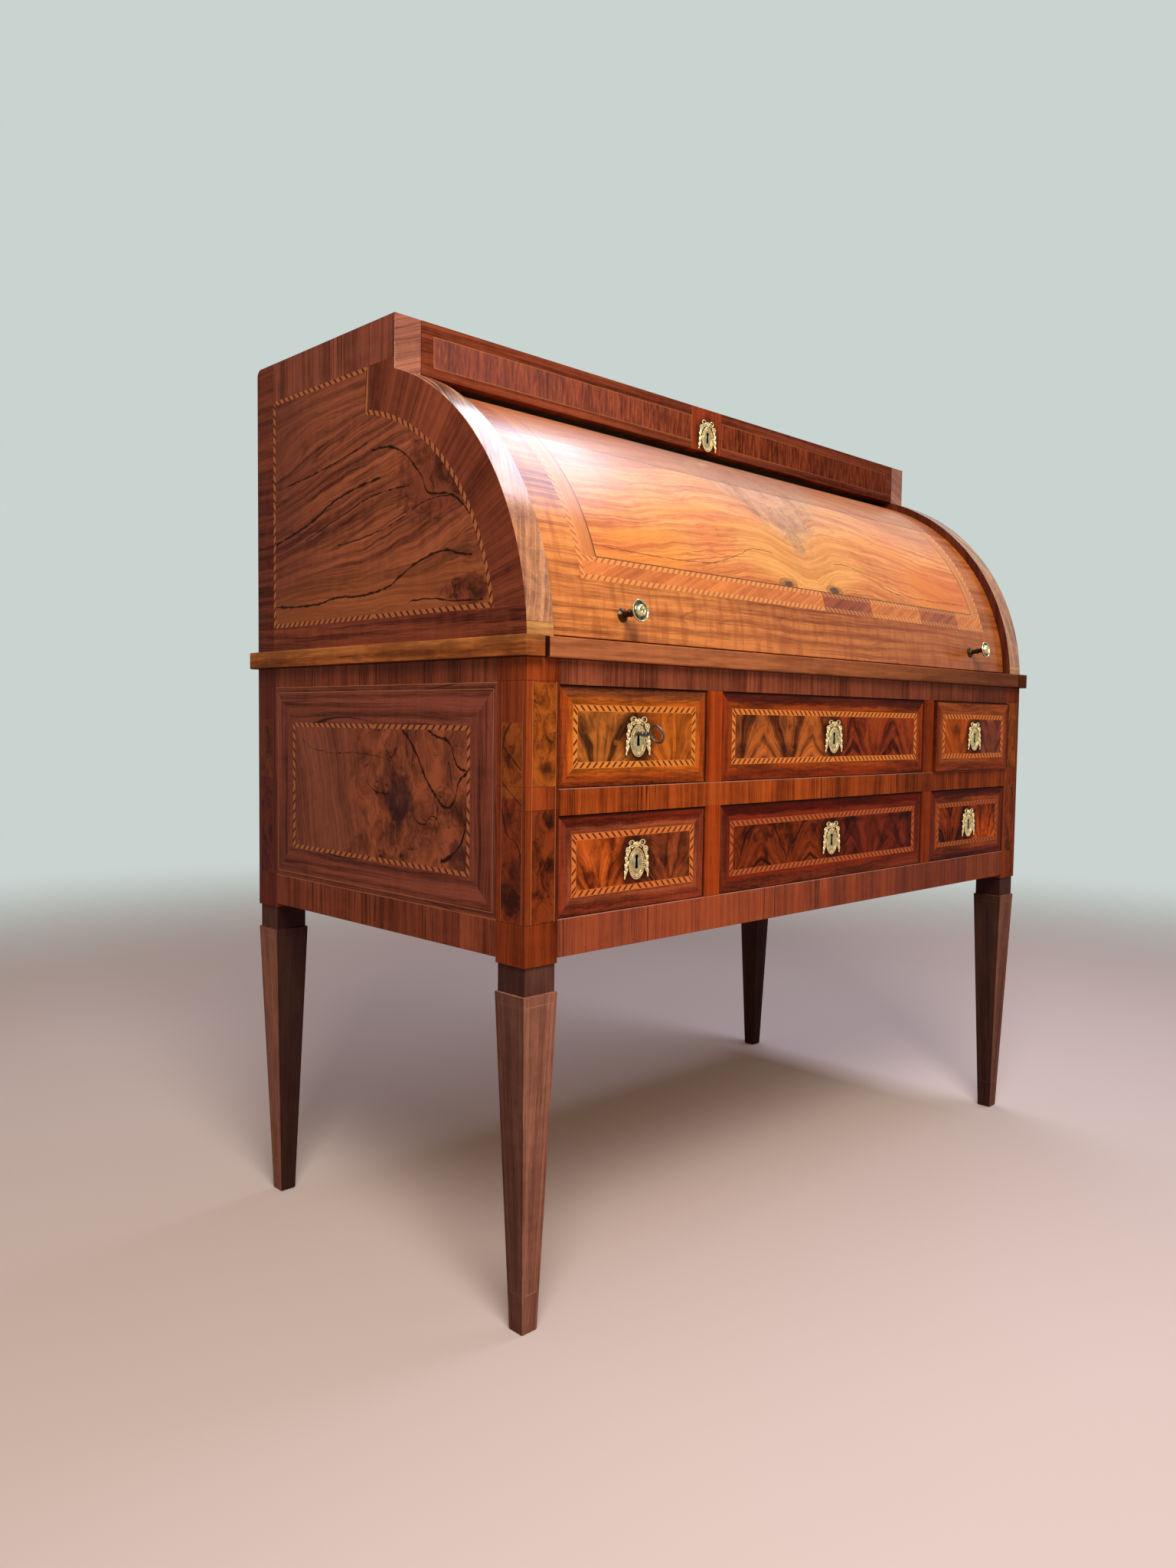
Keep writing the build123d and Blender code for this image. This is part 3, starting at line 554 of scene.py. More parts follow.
wood = layers(
    figured.tint(plain, curly),
    ((post.sideways + x.above(0.0)).below(0.5) * z.below(block_low), 0.30, "2c0c06"),
    (line_at(from_middle, 0.0178) * z.between(panel_low, panel_high), 0.55, PALE_STRING),
    (joints + line_at(z, block_high, 0.0005), 0.6, STAIN_AND_SHADE),
)
wood = layers(
    painted_shade_right(post, wood, 0.26),
    (post.sideways, 0.36, "4c1c16"),
    # painted shade on the back posts' side faces, as the light falls off towards the back
    (post.sideways * y.above(0.0), 0.52, "2c1420"),
)
behind = post.walnut(z, x, BACK_LIGHT, BACK_DARK, seed=17.0)
post_finish = post.close(y.above(BACK_FACE).tint(wood, behind))

# %% [markdown]
# ## Drawer fronts
# A mitred frame of straight veneer goes round each front, in a dark band and a lighter one, then a
# rope, and inside it a field of crotch veneer whose leaves are opened like a book. Crotch figure is
# a fan of flames that rise from one point, so it is drawn on angles about that point. The six
# fronts share one drawing: the place is first folded back to the middle of its own drawer, and the
# drawer's number then picks its colours. These hold each leaf's own tone, and also painted shade
# that deepens towards the right end of the front. Painted shade also darkens the gaps along the
# top and the right edge of each front.

# %% Drawer front finish
drawer = Finish("drawer_front")
x, y, z = drawer.place
outer_column = abs(x).above(0.275)
side_sign = x.sum("SIGN")
half_x, half_z = outer_column.pick(0.2592, 0.1292), 0.0582
lower_row = z.below(0.6145)
u = x - outer_column * side_sign * 0.42
v = z - lower_row.pick(0.689, 0.540)
number = lower_row * 3.0 + outer_column * side_sign + 1.0
leaf = number * 2.0 + u.above(0.0)
# the drawers' tones, set drawer by drawer: each leaf's own colour, with painted shade that deepens
# towards the right end
LEAF_LIGHT = (
    "d97b31", "cc6b1e", "d57131", "af4820", "d0601c", "934a36",
    "db6422", "a64e27", "a74318", "7c2c18", "a94117", "f2661e",
)
LEAF_DARK = (
    "45250e", "5b220a", "3e180d", "340d06", "511d08", "37160d",
    "441306", "2b0e07", "210804", "180503", "240904", "571d08",
)
FRAME_LOW = ("b64e18", "9a3913", "913c1a", "a04226", "8e3a20", "772d20")
FRAME_TOP = ("9c5228", "672615", "ab5328", "842b12", "6b160a", "651f16")
FRAME_IN = ("da6c1e", "af4c19", "a75128", "b35836", "913116", "a94d23")
ROPE_TONES = ("db8639", "de823b", "d57839", "d77739", "b65a32", "ab5a31")
light, dark = swatches(leaf, LEAF_LIGHT), swatches(leaf, LEAF_DARK)

from_side, from_end = half_x - abs(u), half_z - abs(v)
inward = from_side.least(from_end)
level = from_end.below(from_side)
run = level.pick(abs(v), abs(u))
grain_run = level.pick(z, x)
low_tone, top_tone = swatches(number, FRAME_LOW), swatches(number, FRAME_TOP)
outer_tone = (level * v.above(0.0)).tint(low_tone, top_tone)
drift = noise(grain_run * 26.0, inward * 160.0, number, 3.0, 0.6) * 0.016 - 0.008
frame_tone = (inward + drift).ramp(0.011, 0.017).tint(outer_tone, swatches(number, FRAME_IN))
frame_dark = inward.ramp(0.0, 0.012).pick(0.90, 0.76).tint(frame_tone, BLACK_LINE)
frame_wood = drawer.walnut(
    grain_run * 3.0, inward + level * 0.31, frame_tone, frame_dark,
    seed=number * 7.0, wave=0.010, stripe=0.85,
)
fold = (abs(u) - outer_column.pick(0.110, 0.063)).sum("PINGPONG", 0.0575)
reach = v + 0.062
fan = fold / reach.sum("POWER", 1.2)
stray = noise(x * 18.0, z * 12.0, 2.0, 2.0) * 0.016
flames = drawer.walnut(
    reach, fan * 0.010 + stray, light, dark, seed=leaf, wave=0.010, stripe=0.95, vein=0.9
)
cloud = noise(x * 34.0, z * 22.0, 5.0, 4.0, 0.6).ramp(0.46, 0.68)
glow = noise(x * 26.0, z * 34.0, 15.0, 3.0, 0.6).ramp(0.54, 0.70)
flames = layers(flames, (cloud, lower_row.pick(0.62, 0.85), dark), (glow, 0.40, light))
rope_from, rope_to = 0.0218, 0.0284
wood = inward.above(rope_to).tint(frame_wood, flames)
rope_tone = swatches(number, ROPE_TONES)
slips = rope_share(run, inward).tint("6c2f12", rope_tone)
wood = inward.between(rope_from, rope_to).tint(wood, slips)
# painted shade in the gaps: dark along each front's top and right edges, fainter all round
gap_shade = (half_x - u).ramp(0.0040, 0.0020).most((half_z - v).ramp(0.0032, 0.0014))
wood = layers(
    wood,
    (line_at(inward, 0.0216, 0.0007), 0.75, rope_tone),
    (line_at(inward, 0.0287, 0.0007), 0.75, rope_tone),
    (spot_at(u, v, (0.0, -0.001), (0.034, 0.036)) * inward.above(0.0288), 0.8, STAIN_AND_SHADE),
    (spot_at(u, v, (0.0, -0.004), KEYHOLE_SPOT), 1.0, KEYHOLE_BLACK),
    (gap_shade.most(inward.ramp(0.0014, 0.0003) * 0.6), 0.92, STAIN_AND_SHADE),
)
drawer_finish = drawer.close(wood)

# %% [markdown]
# ## Frieze
# The long drawer in the frieze has two upright-grained fields in pale strings, one each side of a
# plain block that carries the keyhole plate.

# %% Frieze finish
frieze = Finish("frieze_drawer_front")
x, y, z = frieze.place
wide = abs(x)
inward, run = frame_of(wide, z, (0.289, 1.1715), (0.251, 0.0192))
border = frieze.walnut(x, z, "94482c", "44160a", seed=3.0, wave=0.004, stripe=0.8)
block = frieze.walnut(z, x, "a04422", "561c0d", seed=6.0)
field = layers(
    crossband(frieze, z, x, "a84e2a", "401308", 0.31, 8.0, 0.55),
    (noise(x * 230.0, z * 34.0, 3.0, 2.0, 0.6).ramp(0.48, 0.66), 0.45, "b85a28"),  # flecks
    (noise(x * 210.0, z * 30.0, 9.0, 2.0, 0.6).ramp(0.46, 0.62), 0.65, "3c1209"),  # shade
    # painted reflection: a pale purple sheen towards the left end
    (x.ramp(0.10, -0.50), 0.30, "92605c"),
)
wood = layers(
    inward.above(0.0).tint(wide.below(0.038).tint(border, block), field),
    (line_at(inward, 0.0), 0.45, PALE_STRING),
    (spot_at(x, z, (0.0, 1.1635), (0.031, 0.032)), 0.7, STAIN_AND_SHADE),
    (spot_at(x, z, (0.0, 1.1605), KEYHOLE_SPOT), 1.0, KEYHOLE_BLACK),
)
frieze_finish = frieze.close(painted_shade_right(frieze, wood, 0.45))
# %% [markdown]
# ## Lower side
# The panel between two posts has a crossband above and below, a mitred border of straight veneer
# between pale strings, a rope, and a field of burr walnut with heavy black veins.

# %% Lower side finish
SIDE_PITCH, SIDE_ROPE_WIDTH = 0.0132, 0.0058
SIDE_ROPE_LIGHT, SIDE_ROPE_DARK = "a5613b", "562413"
BORDER_MIDDLE, BORDER_HALF = (DEPTH_MIDDLE, 0.6145), (0.2500, 0.1355)


def side_rope(wood, run, inward):
    """Lay the sides' rope just inside the line where inward is 0."""
    slips = rope_share(run, inward, SIDE_PITCH).tint(SIDE_ROPE_DARK, SIDE_ROPE_LIGHT)
    return inward.between(0.0, SIDE_ROPE_WIDTH).tint(wood, slips)


def veined(wood, u, v, veins, wander, strength):
    """Lay a list of dark veins, each with its points and its width, over the wood."""
    for number, (points, width) in enumerate(veins):
        vein = vein_of(u, v, points, width, wander, number * 3.0)
        wood = layers(wood, (vein, strength, BLACK_LINE))
    return wood


panel = Finish("burr_side_panel")
x, y, z = panel.place
inward, run = frame_of(y, z, BORDER_MIDDLE, BORDER_HALF)
inner, rope_run = frame_of(y, z, (DEPTH_MIDDLE, 0.6115), (0.2000, 0.0885))
from_end = BORDER_HALF[0] - abs(y - BORDER_MIDDLE[0])
grain_run = from_end.below(BORDER_HALF[1] - abs(z - BORDER_MIDDLE[1])).pick(y, z)
upright = crossband(panel, z, y, SIDE_LIGHT, SIDE_DARK, 0.165, 11.0)
border = panel.walnut(
    grain_run, inward, "894634", "3a1710", seed=1.0, wave=0.010, stripe=0.9, vein=0.9
)
curly = panel.burr(y, z, "995032", "381611", seed=2.6, curl=0.08, vein=0.35)
combed = panel.walnut(
    z + y * 0.5, y - z * 0.25, "8f4e38", "4a2218",
    seed=6.0, wave=0.05, stripe=0.65,
)
edge = y + noise(y * 20.0, z * 20.0, 0.0, 3.0) * 0.12
field = edge.ramp(0.07, 0.17).tint(curly, combed)
veins = (
    (((-0.181, 0.648), (-0.163, 0.650), (-0.143, 0.680), (-0.114, 0.688), (-0.094, 0.700)), 0.0030),
    ((
        (-0.180, 0.645), (-0.163, 0.634), (-0.154, 0.610), (-0.139, 0.602), (-0.119, 0.614),
        (-0.094, 0.640), (-0.078, 0.665), (-0.044, 0.697),
    ), 0.0036),
    (((-0.181, 0.610), (-0.172, 0.570), (-0.153, 0.548), (-0.128, 0.536)), 0.0042),
    (((-0.034, 0.650), (-0.010, 0.672), (0.006, 0.699)), 0.0014),
    (((-0.020, 0.612), (0.016, 0.616), (0.034, 0.640)), 0.0014),
    (((-0.034, 0.652), (0.060, 0.662), (0.110, 0.660), (0.190, 0.677)), 0.0006),
    (((-0.125, 0.572), (-0.110, 0.590), (-0.094, 0.578), (-0.070, 0.600)), 0.0014),
)
field = veined(field, y, jagged(y, z, 0.005), veins, 0.005, 0.95)
blots = ragged_spot(y, z, (-0.044, 0.606), (0.030, 0.038), 3.0)
blots = blots.most(ragged_spot(y, z, (-0.168, 0.545), (0.028, 0.020), 4.0))
field = layers(field, (blots, 0.62, "251219"))
wood = inner.above(0.0).tint(inward.above(0.0).tint(upright, border), field)
wood = layers(
    side_rope(wood, rope_run, inner),
    (line_at(inward, 0.0006), 0.45, PALE_STRING),
    (line_at(inward, 0.0080), 0.45, PALE_STRING),
)
panel_finish = panel.close(wood)

# %% [markdown]
# ## Upper side
# The rope follows the shape of the side: level below, upright behind, level on top, a short step
# down, and then an arc about the shutter's pivot. The distance inwards is the least of five
# distances. Outside it the bands change direction: like spokes along the arc, upright on top, level
# behind and below. The field was cut for its long black lines, which are listed point by point. The
# rim of the arc is polished by every hand that passed it, so it alone has a thick coat. This drawing
# is about as large as one shader may be: Cycles draws a larger one black, and says so in its log.

# %% Upper side finish
ARC_ROPE, ROPE_FOOT, ROPE_TOP, ROPE_BACK = 0.319, 0.834, 1.1535, 0.2690
HEAD_FOOT = 1.1388
side = Finish("figured_upper_side")
x, y, z = side.place
radius, angle = polar(y, z)
arc_run = angle * 0.316
from_arc = (ARC_ROPE - radius).most(y - 0.0285)
from_foot, from_top, from_back = z - ROPE_FOOT, ROPE_TOP - z, ROPE_BACK - y
from_straight = from_foot.least(from_top).least(from_back)
inward = from_arc.least(from_straight)
on_arc = from_arc.below(from_straight + 0.00001)
level = from_foot.least(from_top).below(from_back)  # the edge is a level one
run = on_arc.pick(level.pick(abs(z - 0.990), abs(y - DEPTH_MIDDLE)), arc_run)

spoke = crossband(side, radius, arc_run, SIDE_LIGHT, SIDE_DARK, 0.085, 21.0, 0.30)
upright = crossband(side, z, y, "a65a42", "481e16", 0.120, 25.0)
flat_run = side.walnut(y, z, SIDE_LIGHT, SIDE_DARK, seed=29.0, wave=0.010, vein=0.4)
wood = (y.above(ROPE_BACK) + z.below(ROPE_FOOT)).tint(spoke, flat_run)
wood = (z.above(ROPE_TOP) * y.below(ROPE_BACK)).tint(wood, upright)

tilt = z.ramp(0.86, 0.96) * 0.20 - z.ramp(1.05, 1.12) * 0.14 + 0.02
flow = z + tilt * (y - 0.05)
dark_curl = side.burr(y * 1.6, z * 1.6, "803e29", "1d0907", seed=37.0, curl=0.12, vein=1.0)
knots = ragged_spot(y, z, (-0.175, 0.856), (0.052, 0.020), 1.0)
knots = knots.most(ragged_spot(y, z, (-0.110, 0.996), (0.074, 0.058), 2.0))
figured = layers(
    side.walnut(y, flow, "a85b3a", "481e14", seed=33.0, wave=0.030, stripe=0.78, vein=0.5),
    # painted shade, deepening towards the back
    (y.ramp(0.08, 0.27), 0.46, "4d2220"),
    (z.ramp(1.02, 1.12), 0.24, "3a1a1e"),
    (z.ramp(0.93, 0.84), 0.45, "a75d32"),
    (knots, 0.9, dark_curl),
)
veins = (
    ((
        (-0.185, 0.897), (-0.160, 0.900), (-0.135, 0.906), (-0.095, 0.901), (-0.045, 0.884),
        (-0.005, 0.870), (0.055, 0.865), (0.095, 0.867), (0.155, 0.861), (0.262, 0.864),
    ), 0.0023),
    ((
        (-0.190, 0.925), (-0.172, 0.952), (-0.141, 0.971), (-0.099, 0.979), (-0.088, 0.998),
        (-0.072, 1.014), (-0.049, 1.033), (-0.018, 1.045), (0.020, 1.046),
    ), 0.0024),
    (((0.000, 1.010), (0.050, 1.005), (0.116, 0.992), (0.160, 0.975), (0.262, 0.952)), 0.0026),
    (((-0.060, 0.992), (0.010, 0.990), (0.080, 0.975), (0.180, 0.950)), 0.0013),
    (((0.030, 1.058), (0.070, 1.050), (0.150, 1.038), (0.230, 1.030)), 0.0016),
    (((-0.160, 0.968), (-0.110, 0.970), (-0.050, 0.955), (0.030, 0.940), (0.100, 0.935)), 0.0010),
    (((-0.205, 0.844), (-0.150, 0.846), (-0.090, 0.852), (-0.060, 0.848)), 0.0014),
)
figured = veined(figured, y, jagged(y, z, 0.0014), veins, 0.004, 0.94)
# painted shade on the band behind the rope, as the light falls off towards the back
wood = layers(wood, (y.above(ROPE_BACK), 0.40, "351413"))
wood = side_rope(inward.above(0.0).tint(wood, figured), run, inward)

along_rim, wide = angle * 0.373, abs(x)
block_top = radians(4.6)  # a block at the foot of the rim
rim = side.walnut(
    along_rim - wide * 0.5, wide + along_rim * 0.25, "e2a67a", "4c1e12",
    seed=41.0, wave=0.020, stripe=1.0, vein=1.0,
)
rim_burr = side.burr(along_rim * 2.0, x * 2.0, "d88c58", "6e341c", seed=43.0, curl=0.05, vein=0.5)
foot_block = side.walnut(wide, along_rim, "dc9c50", "8a4e20", seed=49.0)
rim = layers(
    rim,
    (angle.between(block_top, radians(33.0)), 0.45, rim_burr),
    (angle.below(block_top), 1.0, foot_block),
    (line_at(angle, block_top, 0.0022), 0.6, STAIN_AND_SHADE),
)
head = side.walnut(wide, z + wide * 0.35, "b06a50", "4a1c10", seed=45.0, wave=0.02)
rim = z.above(HEAD_FOOT).tint(rim, head)
inner = side.walnut(z, y, BACK_LIGHT, BACK_DARK, seed=47.0)
outside, inside = side.sideways * wide.above(0.58), side.sideways * wide.below(0.58)
wood = inside.tint(outside.tint(rim, wood), inner)
wood = (y.above(BACK_FACE) * (1.0 - side.sideways)).tint(wood, inner)
off_rim = (side.sideways + z.above(1.2055) + y.above(0.310)).above(0.5)
side_finish = side.close(wood, coat=off_rim.pick(0.95 - z.above(HEAD_FOOT) * 0.14, 0.09))

# %% [markdown]
# ## Shutter
# Height on the shutter is an angle about its pivot, so the drawing is made on the unrolled sheet: x
# across, and the length of arc upwards. The field is book matched about the middle, and faded to
# honey; its grain climbs towards the middle, where a ragged wedge of grey crotch figure hangs from
# the top. Two ropes with a narrow band between them run along its foot, one rope climbs each side,
# and a dark line closes the field.

# %% Shutter finish
shutter = Finish("book_matched_shutter")
x, y, z = shutter.place
radius, angle = polar(y, z)
height, wide = angle * 0.361, abs(x)
FRAME_FOOT, FRAME_HALF = 0.0882, 0.497
FIELD_FOOT, FIELD_TOP, FIELD_HALF = 0.1180, 0.3125, 0.4645

border = layers(
    shutter.walnut(x, height, "e68e48", "80390f", seed=1.0, wave=0.012, stripe=0.9, vein=0.3),
    (noise(x * 75.0, height * 14.0, 2.0, 2.0).ramp(0.46, 0.66), 0.38, "903f0c"),  # ripple
    (x.ramp(-0.45, 0.55), 0.50, "9a4210"),
)
fold = abs(x + 0.012)
bend = height - fold.ramp(0.46, 0.10) * 0.042 + fold.ramp(0.10, 0.0) * 0.026
bend = bend + noise(fold * 9.0, height * 16.0, 8.0, 3.0) * 0.026
streaks = noise(x * 9.0, bend * 420.0, 3.0, 3.0, 0.6).ramp(0.50, 0.66)
blush = noise(x * 5.0, height * 11.0, 6.0, 2.0).ramp(0.42, 0.66)
honey = noise(fold * 4.0, bend * 26.0, 12.0, 2.0).ramp(0.50, 0.66)
grey_curl = shutter.burr(fold * 2.2, height * 1.5, "d6a880", "7c5646", seed=7.0, curl=0.10, vein=0.8)
ragged = noise(x * 24.0, bend * 95.0, 4.0, 4.0, 0.65) * 0.150 - 0.075
wedge = (height - fold * 0.95 - 0.166 + ragged).ramp(-0.016, 0.040)
field = layers(
    shutter.walnut(fold, bend, "fcad60", "b85a22", seed=5.2, wave=0.010, stripe=0.9, vein=0.25),
    (streaks, 0.62, "a8501a"),
    (blush, 0.40, "d8683a"),
    (honey, 0.45, "e8922e"),
    (spot_at(x, height, (-0.012, 0.175), (0.170, 0.065)), 0.34, "eab05a"),
    (spot_at(x, height, (0.39, 0.165), (0.10, 0.05)), 0.45, "dc6a22"),
    (wedge, 0.60, grey_curl),
    (ragged_spot(x, height, (-0.010, 0.238), (0.080, 0.034), 2.0, 2.0), 0.40, "6a4448"),
    # painted sheen: a pale veil over the upper field, as of reflected light
    (height.ramp(0.19, 0.29), 0.20, "bc9c90"),
)
mirrored_vein = (
    (0.078, 0.1695), (0.105, 0.1727), (0.160, 0.1576),
    (0.210, 0.1420), (0.245, 0.1350), (0.460, 0.1349),
)
left_vein = ((-0.44, 0.222), (-0.35, 0.246), (-0.25, 0.265), (-0.19, 0.262), (-0.12, 0.252))
field = layers(
    field,
    (vein_of(fold, height, mirrored_vein, 0.0011), 0.7, "5a2a16"),
    (vein_of(x, height, left_vein, 0.0009), 0.45, "6a3a20"),
)
for place in ((-0.075, 0.1235), (0.042, 0.1235)):
    knot = ragged_spot(x, height, place, (0.016, 0.0055), 6.0)
    halo = spot_at(x, height, place, (0.034, 0.013))
    rings = (halo * 3.0).sum("PINGPONG", 0.5).ramp(0.12, 0.0) * halo.above(0.02)
    field = layers(field, (knot, 0.8, "3a2030"), (rings, 0.4, STAIN_AND_SHADE))

stripe = shutter.walnut(height, x, "e08d4c", "b4642e", seed=9.0)
band_tone = x.between(0.004, 0.135) * 0.9 + x.between(0.283, 0.407) * 0.7
band_tone = band_tone + noise(x * 22.0, 4.0, 0.0, 1.0) * 0.3
band = shutter.walnut(
    x + height * 0.8, height - x * 0.5, band_tone.tint("ea8944", "ac562e"),
    band_tone.tint("ac5723", "702c19"), seed=11.0, wave=0.004,
)
from_end, from_foot = FRAME_HALF - wide, height - FRAME_FOOT
inward = from_end.least(from_foot)
run = from_end.below(from_foot).pick(wide, height)
between_ropes = height.below(FIELD_FOOT - ROPE_WIDTH)
wood = inward.above(0.0).tint(border, between_ropes.tint(stripe, band))
wood = (wide.below(FIELD_HALF) * height.above(FIELD_FOOT)).tint(wood, field)
second = height.between(FIELD_FOOT - ROPE_WIDTH, FIELD_FOOT) * inward.above(ROPE_WIDTH)
rope_dark = band_tone.tint("b8652e", "86401f")
slips = rope_share(run, inward).tint(rope_dark, band_tone.tint("e2934f", "bc7440"))
wood = (inward.between(0.0, ROPE_WIDTH).most(second)).tint(wood, slips)
dark_line = wide.between(FIELD_HALF, FIELD_HALF + 0.0022) * height.above(FIELD_FOOT)
dark_line = dark_line.most(line_at(height, FIELD_FOOT + 0.0006, 0.0016) * wide.below(FIELD_HALF))
dark_line = dark_line.most(line_at(height, FIELD_TOP, 0.0018))
wood = layers(
    wood, (dark_line, 0.8, "4a2212"), (height.above(FIELD_TOP + 0.001), 0.45, "8a4418")
)
hollow = shutter.walnut(x, height, "9a5a34", "6a371d", seed=15.0)
wood = radius.above(0.352).tint(hollow, wood)
shutter_finish = shutter.close(wood, gloss=0.38, coat=0.31, shine=0.12)

# %% [markdown]
# ## Waist moulding, slide and top
# The moulding, the edge of the slide and the top board are straight walnut, run along their length.
# The moulding has a tone of its own on its sides, a painted highlight along its rounded top, a
# painted shadow line under its foot and painted shade towards its right end. A dark line shows the
# joint of the corner blocks that the shutter's pivots hide in.

# %% Moulding, slide and top board finishes
moulding = Finish("waist_moulding")
x, y, z = moulding.place
wood = moulding.walnut(x, z, HONEY_LIGHT, HONEY_DARK, seed=1.0, wave=0.003)
on_side = moulding.walnut(
    y, z, "c26c34", "54260e", seed=2.0, wave=0.003
)
turned = moulding.sideways.tint(wood, on_side)
joint = line_at(abs(x), 0.5768, 0.0050) * z.above(0.7768)
# painted shadow: a dark line under the moulding's foot
shadow_under_foot = z.below(0.7782) * 0.7
# painted highlight along the rounded top of the moulding
turned = (z.ramp(0.787, 0.799) * 0.35).tint(turned, "dc8f4e")
patches = noise(x * 9.0, y * 9.0, z * 60.0, 3.0, 0.6).ramp(0.46, 0.64)
turned = painted_shade_right(moulding, (patches * 0.50).tint(turned, "4a1e0a"), 0.85)
moulding_finish = moulding.close((joint * 0.97).most(shadow_under_foot).tint(turned, "170706"))

slide = Finish("writing_slide")
x, y, z = slide.place
wood = slide.walnut(x, z + y, HONEY_LIGHT, HONEY_DARK, seed=12.0, wave=0.006)
front = y.below(-0.2825)
patches = noise(x * 9.0, y * 9.0, z * 60.0, 3.0, 0.6).ramp(0.46, 0.64)
wood = (front * 0.30).tint(wood, "c88460")
wood = (patches * front * 0.34).tint(wood, "4a1e0a")
wood = front.tint(wood, painted_shade_right(slide, wood, 0.66))
slide_finish = slide.close((abs(x).above(0.5742) * 0.95).tint(wood, STAIN_AND_SHADE))

top = Finish("top_board")
x, y, z = top.place
edge_wood = top.walnut(x, z, SIDE_LIGHT, SIDE_DARK, seed=14.0, wave=0.004)
field = top.walnut(x, y, SIDE_LIGHT, SIDE_DARK, seed=15.0, wave=0.03, vein=0.5)
inward, along = frame_of(x, y, (0.0, 0.15), (0.520, 0.115))
band_wood = crossband(top, y, x, SIDE_LIGHT, SIDE_DARK, 0.21, 16.0)
flat = inward.above(0.0).tint(band_wood, field)
flat = (line_at(inward, 0.0, 0.0012) * 0.7).tint(flat, PALE_STRING)
top_finish = top.close(top.upward.tint(edge_wood, flat))

# %% [markdown]
# ## Legs
# The legs are dark brown, and each face carries painted shade by where its leg stands and which way
# it looks. Two pale strings follow the taper on each face, so their place is measured from the
# edge, which draws in towards the foot. The collar above is darker.

# %% Leg finish
LEG_AT = (0.5745, 0.0165, 0.273)
leg = Finish("strung_leg")
x, y, z = leg.place
half_width = z * (0.014 / 0.398) + 0.0115
off_middle = leg.sideways.pick(
    abs(abs(x) - LEG_AT[0]), abs(abs(y - LEG_AT[1]) - LEG_AT[2])
)
from_edge = half_width - off_middle
wood = leg.walnut(
    z, x + y, "ad735d", "59342b", seed=3.0, wave=0.004, stripe=0.5
)
mottle = noise(x * 40.0, y * 40.0, z * 14.0, 3.0).ramp(0.40, 0.66)
wood = (mottle * 0.35).tint(wood, "5e362c")
strings = line_at(from_edge, 0.0050, 0.0007).most(line_at(from_edge, 0.0072, 0.0007))
strings = strings * z.between(0.047, 0.386)
foot = line_at(z, 0.047, 0.0011).most(line_at(z, 0.386, 0.0009)) * from_edge.above(0.0045)
wood = (strings.most(foot) * 0.75).tint(wood, "b07a58")
right_leg, back_leg = x.above(0.0), y.above(0.0)
# painted shade, set face by face for each leg by how the light falls on it
side_shade = right_leg * 0.26 - (1.0 - back_leg + right_leg).below(0.5) * 0.28 + 0.60
front_shade = (back_leg * 0.90).most(right_leg * 0.36)
wood = leg.sideways.pick(front_shade, side_shade).tint(wood, "1a0d10")
wood = (z.above(0.3985) * 0.70).tint(wood, "281012")
leg_finish = leg.close(wood, gloss=0.36)

# %% [markdown]
# ## Inside and behind
# What the owner seldom sees is plainer wood: oak for the drawers and the dust boards, pine for the
# back and the case board, and polished walnut for the fitting. None of it is polished to a shine but
# the last.

# %% Plain wood finishes


def plain_board(name, light, dark, stripe, gloss, coat):
    """One straight grained wood, with its grain along the desk's width or depth."""
    board = Finish(name)
    x, y, z = board.place
    level = board.walnut(x, y + z, light, dark, stripe=stripe, wave=0.012)
    end = board.walnut(y, x * 0.4 + z, light, dark, seed=5.0, stripe=stripe)
    return board.close(board.sideways.tint(level, end), gloss=gloss, coat=coat)


oak_finish = plain_board("drawer_oak", "c39a66", "8f6538", 0.6, 0.52, 0.05)
pine_finish = plain_board("back_pine", "a8763f", "6d4320", 0.7, 0.6, 0.0)
fitting_finish = plain_board("fitting_walnut", "a9683a", "6b3819", 0.8, 0.36, 0.1)

# %% [markdown]
# ## Leather
# The slide is lined with brown hide, stretched and glued into a sunk panel. Its grain is a fine net
# of creases, made from the cells of a Voronoi pattern, and a gilt line is tooled near its edge.

# %% Leather finish
hide = Finish("writing_hide")
x, y, z = hide.place
source = hide.tree.nodes.new("ShaderNodeTexCoord")
cells = hide.tree.nodes.new("ShaderNodeTexVoronoi")
cells.inputs["Scale"].default_value = 520.0
hide.tree.links.new(source.outputs["Object"], cells.inputs["Vector"])
crease = Wire(hide.tree, cells.outputs["Distance"])
wear = noise(x * 5.0, y * 7.0, 0.0, 3.0).ramp(0.35, 0.7)
skin = layers(wear.tint("5e2c1a", "8a4c2d"), (crease, 0.35, "31140a"))
low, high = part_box("writing_leather")
middle = ((low[0] + high[0]) / 2, (low[1] + high[1]) / 2)
half = ((high[0] - low[0]) / 2, (high[1] - low[1]) / 2)
inward, along = frame_of(x, y, middle, half)
leaves = (along / 0.009).sum("PINGPONG", 0.5).above(0.2)
gilt = line_at(inward, 0.011, 0.0010).most(line_at(inward, 0.021, 0.0010))
gilt = gilt.most(line_at(inward, 0.016, 0.0042) * leaves)
hide_finish = hide.close(layers(skin, (gilt, 0.85, "c79a4d")), gloss=0.42, coat=0.1)

# %% [markdown]
# ## Brass, iron and steel
# Old cast brass is bright where hands and cloths rub it and brown in its hollows. The hollows are
# found from a number stored on the mesh, `relief`, which says how high each point stands.

# %% Metal finishes


